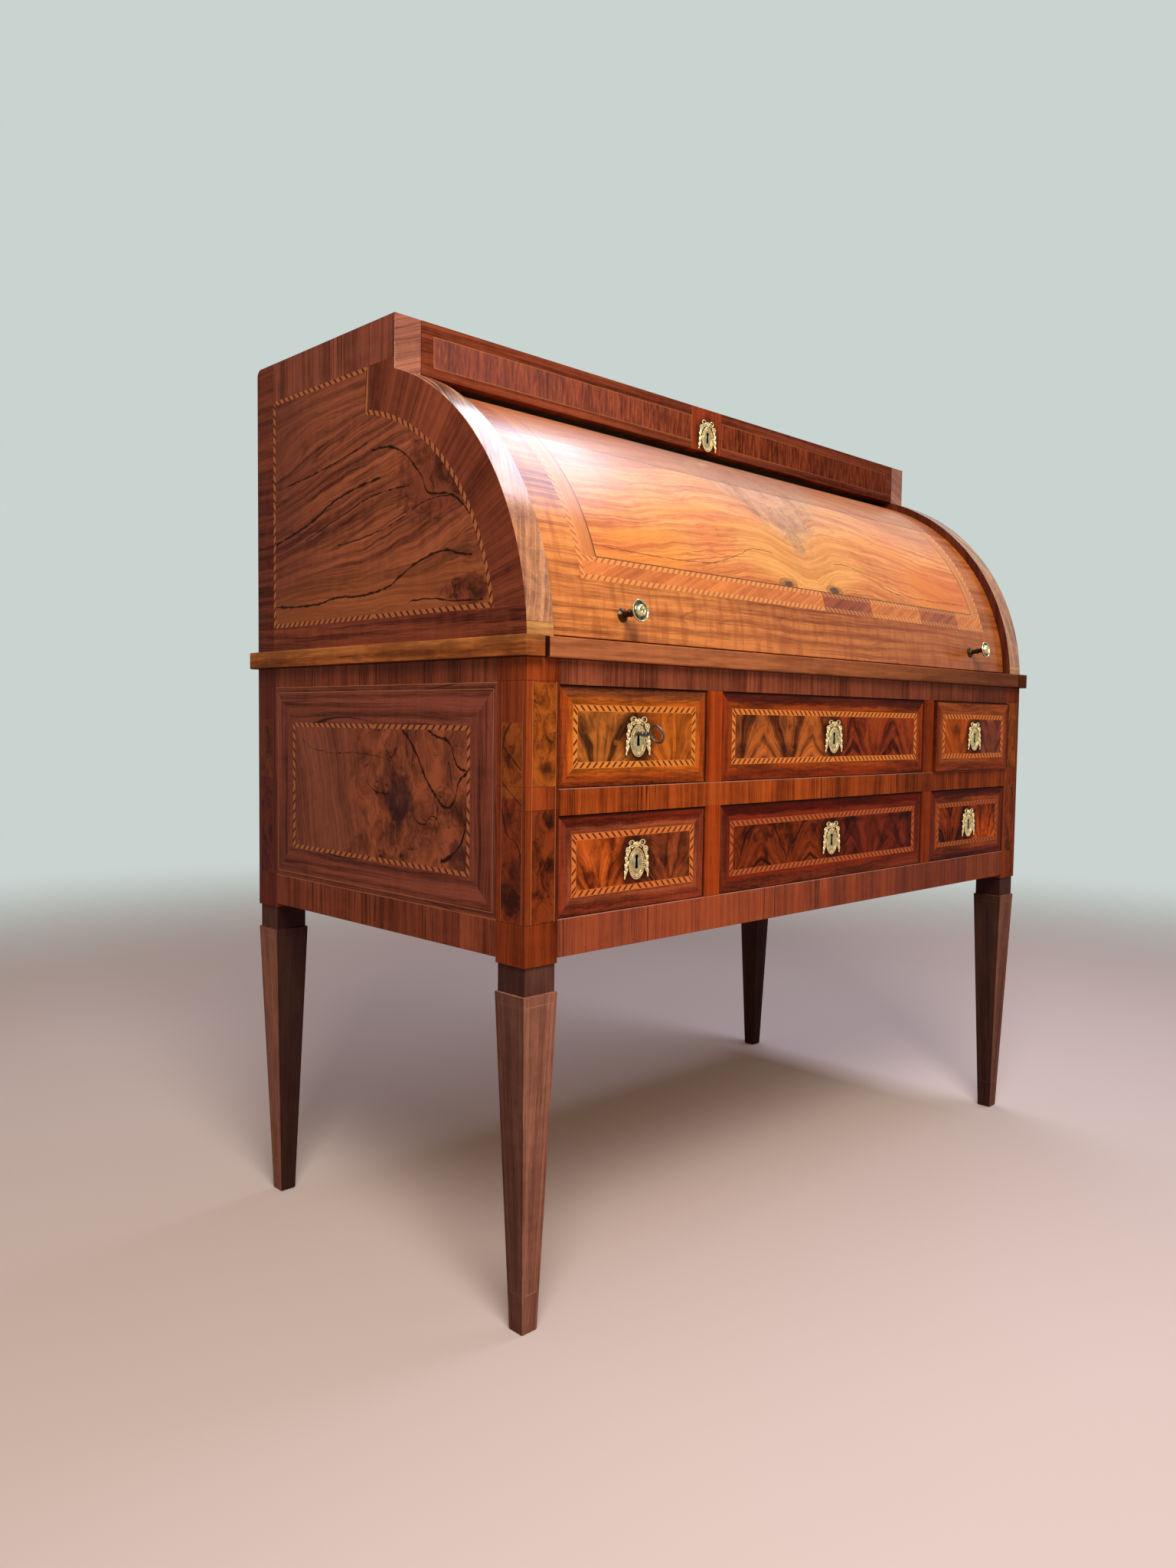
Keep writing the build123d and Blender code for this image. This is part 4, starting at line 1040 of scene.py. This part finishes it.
def metal(name, bright, dull, gloss, bump, share):
    """A bright metal with a dull tone in its hollows. The share says how much of it is dull."""
    finish = Finish(name)
    x, y, z = finish.place
    node = finish.tree.nodes.new("ShaderNodeAttribute")
    node.attribute_name = "relief"
    raised = Wire(finish.tree, node.outputs["Fac"])
    spots = noise(x * 260.0, y * 260.0, z * 260.0, 3.0)
    patina = spots.ramp(0.35, 0.75) * 0.4 + raised * (share * -1.5) + share
    patina = patina.most(0.0).least(1.0)
    return finish.close(
        patina.tint(bright, dull), gloss=gloss, coat=0.0, bump=bump, scale=420.0, metal=1.0
    )


brass_finish = metal("old_brass", "ffe3ac", "5c4020", 0.32, 0.0002, 0.80)
knob_finish = metal("handled_brass", "e2d2a6", "3e2f1c", 0.30, 0.0002, 0.95)
iron_finish = metal("filed_iron", "6f6862", "3a332e", 0.50, 0.0003, 0.4)
# %% [markdown]
# ## Light and floor
# The light is a pale room: even light from all round, a broad window light on the front from the
# right, and a soft light above that the curved shutter mirrors on its left. The floor is a plain
# pale sheet that fades into the background far away, and it keeps the desk's shadow.

# %% World
FLOOR_TONE, FAR_TONE = "dfcfca", "c9d3cf"
world = bpy.data.worlds.new("pale_room")
bpy.context.scene.world = world
world.use_nodes = True
tree = world.node_tree
tree.nodes.clear()
path = tree.nodes.new("ShaderNodeLightPath")
seen = Wire(tree, path.outputs["Is Camera Ray"]).most(
    Wire(tree, path.outputs["Is Glossy Ray"])
).most(Wire(tree, path.outputs["Is Transmission Ray"]))
room = tree.nodes.new("ShaderNodeBackground")
plug(tree, room.inputs["Color"], seen.tint("ffead8", FAR_TONE))
plug(tree, room.inputs["Strength"], seen.pick(0.22, 1.0))
tree.links.new(room.outputs[0], tree.nodes.new("ShaderNodeOutputWorld").inputs["Surface"])
print("world lit")

# %% Lamps


def soft_lamp(name, place, target, size, power, tone):
    """A lamp with a wide face, aimed from its place at a target."""
    data = bpy.data.lights.new(name, "AREA")
    data.shape = "RECTANGLE"
    data.size, data.size_y = size
    data.energy = power
    data.color = paint(tone)[:3]
    lamp = bpy.data.objects.new(name, data)
    aim = Vector(target) - Vector(place)
    lamp.matrix_world = Matrix.Translation(place) @ aim.to_track_quat("-Z", "Y").to_matrix().to_4x4()
    bpy.context.scene.collection.objects.link(lamp)
    print(name, power, "W")


soft_lamp("window", (-1.45, -1.60, 2.55), (0.0, 0.0, 0.6), (1.3, 1.3), 75.0, "fff6ec")
soft_lamp("overhead", (0.88, -0.10, 2.6), (0.88, -0.0999, 0.9), (0.55, 1.6), 29.0, "e0e6ff")

# %% Floor
bpy.ops.object.select_all(action="DESELECT")
bpy.ops.mesh.primitive_grid_add(x_subdivisions=8, y_subdivisions=8, size=60.0)
floor = bpy.context.object
floor.name = "floor"
sheet = Finish("plain_floor")
x, y, z = sheet.place
mottled = noise(x * 1.3, y * 1.3, 0.0, 2.0)
floor.data.materials.append(
    sheet.close(mottled.tint(FLOOR_TONE, "dac9c3"), gloss=0.75, coat=0.0, bump=0.0)
)
tree = sheet.tree
distance = far_from(x, y, (0.0, 0.0)).sum("SQRT")
glow = tree.nodes.new("ShaderNodeEmission")
plug(tree, glow.inputs["Color"], FAR_TONE)
fade = tree.nodes.new("ShaderNodeMixShader")
end = next(n for n in tree.nodes if n.type == "OUTPUT_MATERIAL")
shader = next(n for n in tree.nodes if n.type == "BSDF_PRINCIPLED")
plug(tree, fade.inputs[0], distance.ramp(1.7, 4.2))
tree.links.new(shader.outputs[0], fade.inputs[1])
tree.links.new(glow.outputs[0], fade.inputs[2])
tree.links.new(fade.outputs[0], end.inputs["Surface"])
print("floor laid")
# %% [markdown]
# ## Soft edges
# A board from the saw has knife edges, and a board from a cabinet maker hasn't: every edge is eased
# with a few strokes of paper, and that thin round is what catches the light. Each solid board is
# copied, its triangles are welded into whole faces, and a small bevel is applied to it.

# %% Softened copies of the boards
SAME_POINT = 0.00001


def only(obj):
    """Make this object the only one selected, and the active one."""
    bpy.ops.object.select_all(action="DESELECT")
    obj.select_set(True)
    bpy.context.view_layer.objects.active = obj


def open_mesh(obj):
    """Go into a piece's mesh with all of it selected."""
    only(obj)
    bpy.ops.object.mode_set(mode="EDIT")
    bpy.ops.mesh.select_all(action="SELECT")


def close_mesh():
    """Turn every face outwards and leave the mesh."""
    bpy.ops.mesh.select_all(action="SELECT")
    bpy.ops.mesh.normals_make_consistent(inside=False)
    bpy.ops.object.mode_set(mode="OBJECT")


def weld(obj):
    """Merge doubled points and melt the seams between triangles of one flat face."""
    open_mesh(obj)
    bpy.ops.mesh.remove_doubles(threshold=SAME_POINT)
    bpy.ops.mesh.dissolve_limited(angle_limit=radians(0.5))
    bpy.ops.object.mode_set(mode="OBJECT")


def ease(obj, width, angle=30.0):
    """Round the sharp edges of a piece by a small width."""
    only(obj)
    bevel = obj.modifiers.new("ease", "BEVEL")
    bevel.width = width
    bevel.segments = 2
    bevel.limit_method = "ANGLE"
    bevel.angle_limit = radians(angle)
    bevel.use_clamp_overlap = True
    bevel.harden_normals = False
    bpy.ops.object.modifier_apply(modifier=bevel.name)
    bpy.ops.object.shade_smooth_by_angle(angle=radians(14.0))


def dress(obj, finish):
    """Give a piece one finish all over."""
    obj.data.materials.clear()
    obj.data.materials.append(finish)


def eased_board(node, name, body, finish, width=0.0006):
    """A copy of a solid board, under its own name, with eased edges."""
    piece = bpy.data.objects.new(name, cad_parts[node].data.copy())
    bpy.context.scene.collection.objects.link(piece)
    weld(piece)
    ease(piece, width)
    dress(piece, finish)
    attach(piece, body)
    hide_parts(node)
    return piece


BOARDS = (
    (post_finish, "walnut_front", "front_posts"),
    (post_finish, "walnut_case", "back_posts"),
    (panel_finish, "walnut_case", "lower_side_left", "lower_side_right"),
    (rail_finish, "walnut_front", "bottom_rail", "middle_rail", "top_rail"),
    (divider_finish, "walnut_front", "drawer_dividers"),
    (moulding_finish, "walnut_front", "waist_moulding"),
    (side_finish, "walnut_case", "upper_side_left", "upper_side_right"),
    (top_finish, "walnut_case", "top_board"),
    (fitting_finish, "walnut_front", "fitting"),
    (
        leg_finish, "dark_leg",
        "leg_front_left", "leg_front_right", "leg_back_left", "leg_back_right",
    ),
)
for finish, slot, *nodes in BOARDS:
    for node in nodes:
        piece = eased_board(node, "eased_" + node, "case", finish)
        print(piece.name, len(piece.data.polygons), "faces")

# %% Drawer fronts, frieze and slide
ROWS, COLUMNS = ("top", "bottom"), ("left", "middle", "right")
DRAWERS = [f"{row}_{column}" for row in ROWS for column in COLUMNS]
for place in DRAWERS:
    eased_board(
        f"drawer_front_{place}", f"eased_front_{place}", f"drawer_{place}", drawer_finish,
        0.0009,
    )
eased_board(
    "frieze_drawer_front", "eased_frieze_front", "frieze_drawer", frieze_finish
)
eased_board("slide_strip", "eased_slide_strip", "writing_slide", slide_finish)
print("drawer fronts", len(DRAWERS))

# %% [markdown]
# ## Boards left as they are
# Boards that stay out of sight, or that show only flat faces, keep their plain solids and only take
# a finish.

# %% Finishes on the other solids
PLAIN = {
    oak_finish: ["dust_boards", "drawer_guides", "frieze_bed", "frieze_drawer_box"]
    + [f"drawer_box_{place}" for place in DRAWERS],
    pine_finish: ["lower_back", "upper_back", "case_board"],
    slide_finish: ["slide_board", "cylinder_arm_left", "cylinder_arm_right"],
    iron_finish: ["pivot_pins", "lock_case", "lock_bolt"],
    hide_finish: ["writing_leather"],
    fitting_finish: [f"fitting_drawer_{i}" for i in (1, 2, 3)],
}
for finish, nodes in PLAIN.items():
    for node in nodes:
        dress(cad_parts[node], finish)
print("dressed", sum(len(nodes) for nodes in PLAIN.values()), "solids")
# %% [markdown]
# ## The shutter
# The shutter of such a desk is a quarter of a hollow drum, built of narrow staves that are glued
# edge to edge, planed round and veneered. A solid of revolution could come from a curve, but Spin
# makes it as one would explain it: draw the end of the board once, and swing it about the pivot.

# %% Spin the shutter
SHELL_OUTER, SHELL_INNER, SHELL_HALF = 0.361, 0.343, 0.558
SHELL_FROM, SHELL_SWEEP = radians(2.83), radians(73.2)


def sized(name, size=(1.0, 1.0, 1.0)):
    """Name the primitive that was just added, and scale its mesh to three sizes for good."""
    piece = bpy.context.object
    piece.name = name
    piece.scale = size
    only(piece)
    bpy.ops.object.transform_apply(location=True, rotation=True, scale=True)
    return piece


def on_arc_at(x, radius, rise):
    """The place at a distance from the pivot, so far up from the front."""
    return Vector((x, PIVOT[0] - radius * cos(rise), PIVOT[1] + radius * sin(rise)))


bpy.ops.mesh.primitive_plane_add(
    size=1.0, location=on_arc_at(0.0, (SHELL_OUTER + SHELL_INNER) / 2, SHELL_FROM),
    rotation=(-SHELL_FROM, 0.0, 0.0),
)
shell = sized("shutter_shell", (2 * SHELL_HALF, SHELL_OUTER - SHELL_INNER, 1.0))
open_mesh(shell)
bpy.ops.mesh.spin(
    steps=72, dupli=False, angle=SHELL_SWEEP, center=(0.0, *PIVOT), axis=(1.0, 0.0, 0.0)
)
bpy.ops.mesh.select_all(action="SELECT")
bpy.ops.mesh.remove_doubles(threshold=SAME_POINT)
close_mesh()
ease(shell, 0.0008, angle=40.0)
dress(shell, shutter_finish)
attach(shell, "cylinder")
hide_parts("cylinder_shell")
print("shutter", len(shell.data.polygons), "faces")
for axis in range(3):
    places = [point.co[axis] for point in shell.data.vertices]
    print("  from", round(min(places), 4), "to", round(max(places), 4))
# %% [markdown]
# ## Turned brass
# The two knobs were turned on a lathe: a foot, a slim stem with a ring, and a dished head with a
# rounded boss. A turner works along the axis and changes the radius, and so does this helper: it
# starts from a disc, extrudes it by each step in height and scales it to each new radius.

# %% Turning helper
MM = 0.001


def turned(name, profile, sides=48):
    """A turned piece on the Z axis. The profile lists radius and height in millimetres."""
    radius, height = profile[0]
    bpy.ops.object.select_all(action="DESELECT")
    bpy.ops.mesh.primitive_circle_add(
        vertices=sides, radius=radius * MM, fill_type="NGON", location=(0.0, 0.0, height * MM)
    )
    piece = sized(name)
    open_mesh(piece)
    for new_radius, new_height in profile[1:]:
        bpy.ops.mesh.extrude_region_move(
            TRANSFORM_OT_translate={"value": (0.0, 0.0, (new_height - height) * MM)}
        )
        share = new_radius / radius
        bpy.ops.transform.resize(
            value=(share, share, 1.0), center_override=(0.0, 0.0, new_height * MM)
        )
        radius, height = new_radius, new_height
    close_mesh()
    bpy.ops.object.shade_smooth_by_angle(angle=radians(32.0))
    return piece


def mark_relief(piece, low, high):
    """Store how high each point stands above the mounting face, from 0 to 1."""
    layer = piece.data.attributes.new("relief", "FLOAT", "POINT")
    for spot, point in zip(layer.data, piece.data.vertices):
        spot.value = min(max((point.co.z / MM - low) / (high - low), 0.0), 1.0)


def place_copy(pattern, name, matrix, body, node=None):
    """A copy of a finished pattern with its own mesh, put in place for good."""
    piece = bpy.data.objects.new(name, pattern.data.copy())
    bpy.context.scene.collection.objects.link(piece)
    piece.data.transform(matrix)
    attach(piece, body)
    if node:
        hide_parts(node)
    return piece


# %% Shutter knobs
KNOB_PROFILE = (
    (8.5, 0.0), (8.5, 1.0), (8.1, 1.5), (7.6, 2.0), (5.6, 3.2), (4.4, 5.2), (3.9, 8.0),
    (3.8, 12.0), (4.6, 12.7), (5.0, 14.0), (4.6, 15.3), (3.8, 15.9), (3.7, 19.5), (4.1, 22.0),
    (5.8, 24.4), (8.6, 26.4), (11.6, 27.6), (13.3, 28.4), (13.7, 29.2), (13.7, 30.2),
    (13.3, 30.8), (12.6, 30.9), (12.0, 30.4), (11.5, 29.5), (10.3, 28.9), (8.9, 28.8),
    (8.2, 29.2), (7.6, 30.2), (7.2, 31.6), (6.4, 33.0), (5.4, 33.9), (4.7, 33.9),
    (4.1, 33.2), (3.7, 32.0), (3.3, 30.4), (2.2, 29.4), (0.4, 29.2),
)
KNOB_AT, KNOB_RISE = 0.435, radians(7.7)
knob = turned("knob_pattern", KNOB_PROFILE)
mark_relief(knob, 28.5, 31.6)
dress(knob, knob_finish)
for side_name, side_sign in (("left", -1), ("right", 1)):
    spot = on_arc_at(side_sign * KNOB_AT, SHELL_OUTER, KNOB_RISE)
    matrix = Matrix.Translation(spot) @ Matrix.Rotation(pi / 2 - KNOB_RISE, 4, "X")
    piece = place_copy(knob, f"turned_knob_{side_name}", matrix, "cylinder", f"knob_{side_name}")
bpy.data.objects.remove(knob)

# %% Small knobs of the inner drawers
SMALL_PROFILE = (
    (4.6, 0.0), (4.6, 0.6), (4.0, 1.0), (2.6, 1.8), (2.1, 3.2), (2.2, 4.6), (3.4, 5.6),
    (5.2, 6.6), (6.2, 8.0), (6.4, 9.2), (5.9, 10.4), (4.6, 11.4), (2.6, 12.0), (0.4, 12.2),
)
small = turned("small_knob_pattern", SMALL_PROFILE, sides=32)
mark_relief(small, -4.0, 12.0)
dress(small, brass_finish)
upright = Matrix.Rotation(pi / 2, 4, "X")
for i in (1, 2, 3):
    low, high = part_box(f"fitting_drawer_{i}")
    spot = Vector(((low[0] + high[0]) / 2, low[1], (low[2] + high[2]) / 2))
    place_copy(small, f"small_knob_{i}", Matrix.Translation(spot) @ upright, f"fitting_drawer_{i}")
bpy.data.objects.remove(small)
print("small knobs", 3)

# %% [markdown]
# ## Keyhole plates
# Each lock has a cast and chased plate: an oval with a smooth rim, a string of beads and an inner
# ring, a rosette on each shoulder, a garland of leaves down each side and a ribbon bow on top. It
# is modelled flat, with Z pointing out of the drawer, from pressed rings, beads and leaves. One
# pattern serves all seven plates.

# %% Parts of a keyhole plate
cast = []


def ring(place, half, wire, lift, turns):
    """An oval ring of round wire, lying flat."""
    bpy.ops.mesh.primitive_torus_add(
        major_segments=turns, minor_segments=8, major_radius=1.0, minor_radius=wire / max(half),
        location=(place[0] * MM, place[1] * MM, lift * MM),
    )
    cast.append(sized("ring", (half[0] * MM, half[1] * MM, max(half) * MM)))


def bead(place, half, lift, lean=0.0, detail=2):
    """A bead or a leaf: a ball that is stretched to its three half sizes and leant over."""
    bpy.ops.mesh.primitive_ico_sphere_add(
        subdivisions=detail, radius=1.0, location=(place[0] * MM, place[1] * MM, lift * MM),
        rotation=(0.0, 0.0, radians(lean)),
    )
    cast.append(sized("bead", (half[0] * MM, half[1] * MM, half[2] * MM)))


def leaf(place, half, lift, lean):
    """A leaf with a groove along its middle: two beads side by side."""
    sin_lean, cos_lean = sin(radians(lean)), cos(radians(lean))
    for side_sign in (-1, 1):
        shift = side_sign * half[0] * 0.42
        spot = (place[0] + shift * cos_lean, place[1] + shift * sin_lean)
        bead(spot, (half[0] * 0.62, half[1], half[2]), lift, lean - side_sign * 7.0)


# %% Oval plate with its keyhole
OVAL, OVAL_DROP, EYE_RISE = (14.3, 19.3), -5.0, 3.4
SLOT_MIDDLE = (EYE_RISE - 7.25) * MM
bpy.ops.object.select_all(action="DESELECT")
bpy.ops.mesh.primitive_circle_add(
    vertices=64, radius=1.0, fill_type="NGON", location=(0.0, OVAL_DROP * MM, 0.0)
)
plate = sized("plate", (OVAL[0] * MM, OVAL[1] * MM, 1.0))
open_mesh(plate)
bpy.ops.mesh.extrude_region_move(TRANSFORM_OT_translate={"value": (0.0, 0.0, 1.1 * MM)})
bpy.ops.mesh.inset(thickness=4.2 * MM)
bpy.ops.transform.translate(value=(0.0, 0.0, 0.5 * MM))
close_mesh()

bpy.ops.mesh.primitive_cylinder_add(
    vertices=32, radius=2.8 * MM, depth=8 * MM, location=(0.0, EYE_RISE * MM, 0.0)
)
eye = sized("eye_cutter")
bpy.ops.mesh.primitive_cube_add(size=1.0, location=(0.0, SLOT_MIDDLE, 0.0))
slot_cutter = sized("slot_cutter", (3.2 * MM, 14.5 * MM, 8 * MM))
for point in slot_cutter.data.vertices:
    if point.co.y < SLOT_MIDDLE:  # the slot is wider at its foot
        point.co.x *= 5.0 / 3.2
for cutter in (eye, slot_cutter):
    only(plate)
    cut = plate.modifiers.new("keyhole", "BOOLEAN")
    cut.object = cutter
    cut.operation = "DIFFERENCE"
    cut.solver = "EXACT"
    bpy.ops.object.modifier_apply(modifier=cut.name)
    bpy.data.objects.remove(cutter)
cast.append(plate)
print("plate", len(plate.data.polygons), "faces")

# %% Rims, beads, rosettes, garlands and bow
ring((0.0, OVAL_DROP), (13.7, 18.7), 0.95, 1.3, 72)
ring((0.0, OVAL_DROP), (9.7, 14.3), 0.62, 1.6, 64)
for i in range(38):
    a = 2 * pi * i / 38
    bead((11.8 * cos(a), OVAL_DROP + 16.6 * sin(a)), (0.82, 0.82, 0.9), 1.5, detail=1)
for s in (-1, 1):
    ring((s * 15.5, 12.0), (3.5, 3.5), 1.05, 1.5, 24)
    bead((s * 15.5, 12.0), (1.5, 1.5, 1.3), 1.5)
    for i in range(6):
        a = 2 * pi * i / 6
        bead((s * 15.5 + 2.3 * cos(a), 12.0 + 2.3 * sin(a)), (0.8, 0.8, 0.8), 1.7, detail=1)
    leaf((s * 16.6, 5.2), (2.5, 4.4, 1.3), 1.2, s * 8.0)
    leaf((s * 18.4, 0.2), (2.3, 4.6, 1.5), 1.3, s * -6.0)
    leaf((s * 16.5, -4.4), (2.4, 4.6, 1.3), 1.1, s * 14.0)
    leaf((s * 19.0, -8.2), (2.4, 4.8, 1.6), 1.3, s * 2.0)
    leaf((s * 17.8, -13.0), (2.2, 4.2, 1.3), 1.1, s * 16.0)
    leaf((s * 19.8, -16.2), (2.1, 4.4, 1.5), 1.2, s * 8.0)
    bead((s * 20.4, -21.2), (1.6, 2.3, 1.3), 1.1, s * 8.0)
    ring((s * 9.4, 20.6), (4.4, 3.1), 1.1, 1.6, 28)
    bead((s * 9.4, 20.6), (3.2, 1.9, 0.7), 0.7)
    bead((s * 4.6, 19.2), (2.3, 1.6, 1.4), 1.5, s * 20.0)
    bead((s * 10.8, 16.4), (3.9, 1.5, 1.1), 1.2, s * -28.0)
    bead((s * 6.6, 15.4), (3.6, 1.4, 1.1), 1.1, s * -36.0)
ring((0.0, 18.6), (2.7, 2.7), 1.1, 1.7, 24)
bead((0.0, 18.6), (1.5, 1.5, 1.2), 1.7)
bead((0.0, 15.6), (5.6, 1.5, 1.0), 1.0)
bead((0.0, OVAL_DROP - 14.6), (1.3, 1.3, 1.0), 1.7)
print("castings", len(cast))

# %% Join the plate and put seven in place


def joined(pieces, keeper, angle):
    """Join pieces to the one that keeps its name, and smooth the edges under an angle."""
    bpy.ops.object.select_all(action="DESELECT")
    for piece in pieces:
        piece.select_set(True)
    bpy.context.view_layer.objects.active = keeper
    bpy.ops.object.join()
    bpy.ops.object.shade_smooth_by_angle(angle=radians(angle))
    return bpy.context.object


escutcheon = joined(cast, plate, 42.0)
mark_relief(escutcheon, 0.8, 2.6)
dress(escutcheon, brass_finish)

FRONT_FACE, PROUD_FACE, FRIEZE_FACE = -0.2805, -0.287, -0.0295
PLATE_X = {"left": -0.42, "middle": 0.0, "right": 0.42}
PLATE_Z = {"top": 0.689, "bottom": 0.540}


def hang_plate(name, body, spot):
    """Put one plate on the drawer of a body."""
    matrix = Matrix.Translation(Vector(spot)) @ upright
    place_copy(escutcheon, f"cast_plate_{name}", matrix, body, f"escutcheon_{name}")


for place in DRAWERS:
    row, column = place.split("_")
    face = PROUD_FACE if place == "top_right" else FRONT_FACE
    hang_plate(place, f"drawer_{place}", (PLATE_X[column], face, PLATE_Z[row]))
hang_plate("frieze", "frieze_drawer", (0.0, FRIEZE_FACE, 1.1645))
size = [round(v * 1000, 1) for v in escutcheon.dimensions]
print("one plate", len(escutcheon.data.polygons), "faces", size)
bpy.data.objects.remove(escutcheon)
# %% [markdown]
# ## The key
# An old desk key is forged and filed: a ring bow, a turned collar, a round stem and a bit, here a
# plain block with eased edges. The stem is turned like the knobs. The bow stands in one plane with
# the bit, leant over by the angle that the key rests at.

# %% Key
KEY_AT = Vector((-0.420, 0.0, 0.6924))
KEY_INNER, KEY_BOW, KEY_LEAN = -0.26265, -0.312, radians(20.0)
STEM_PROFILE = (
    (1.6, 0.0), (2.1, 0.3), (2.3, 0.8), (2.3, 24.6), (2.6, 24.9), (3.2, 25.5), (3.4, 26.6),
    (3.2, 27.7), (2.6, 28.3), (2.2, 28.8), (2.2, 30.2), (2.9, 30.7), (3.4, 31.7), (3.4, 33.0),
    (2.9, 34.0), (2.3, 34.6), (2.2, 36.6), (1.8, 38.6), (0.8, 39.6),
)
stem = turned("turned_key", STEM_PROFILE, sides=24)
bpy.ops.mesh.primitive_torus_add(
    major_segments=56, minor_segments=14, major_radius=10.6 * MM, minor_radius=1.4 * MM,
    location=(0.0, 0.0, KEY_INNER - KEY_BOW), rotation=(0.0, pi / 2, 0.0),
)
bow = sized("bow")
bpy.ops.mesh.primitive_cube_add(size=1.0, location=(0.0, -6.2 * MM, 1.5 * MM))
bit = sized("bit", (2.2 * MM, 11.6 * MM, 3.0 * MM))
open_mesh(bit)
bpy.ops.mesh.bevel(offset=0.25 * MM, segments=1)
bpy.ops.object.mode_set(mode="OBJECT")
key = joined((bow, bit, stem), stem, 35.0)
mark_relief(key, 0.0, 60.0)
dress(key, iron_finish)
turn = Matrix.Rotation(-KEY_LEAN, 4, "Y") @ Matrix.Rotation(pi / 2, 4, "X")
spot = Vector((KEY_AT.x, KEY_INNER, KEY_AT.z))
key.data.transform(Matrix.Translation(spot) @ turn)
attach(key, "key")
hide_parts("key")
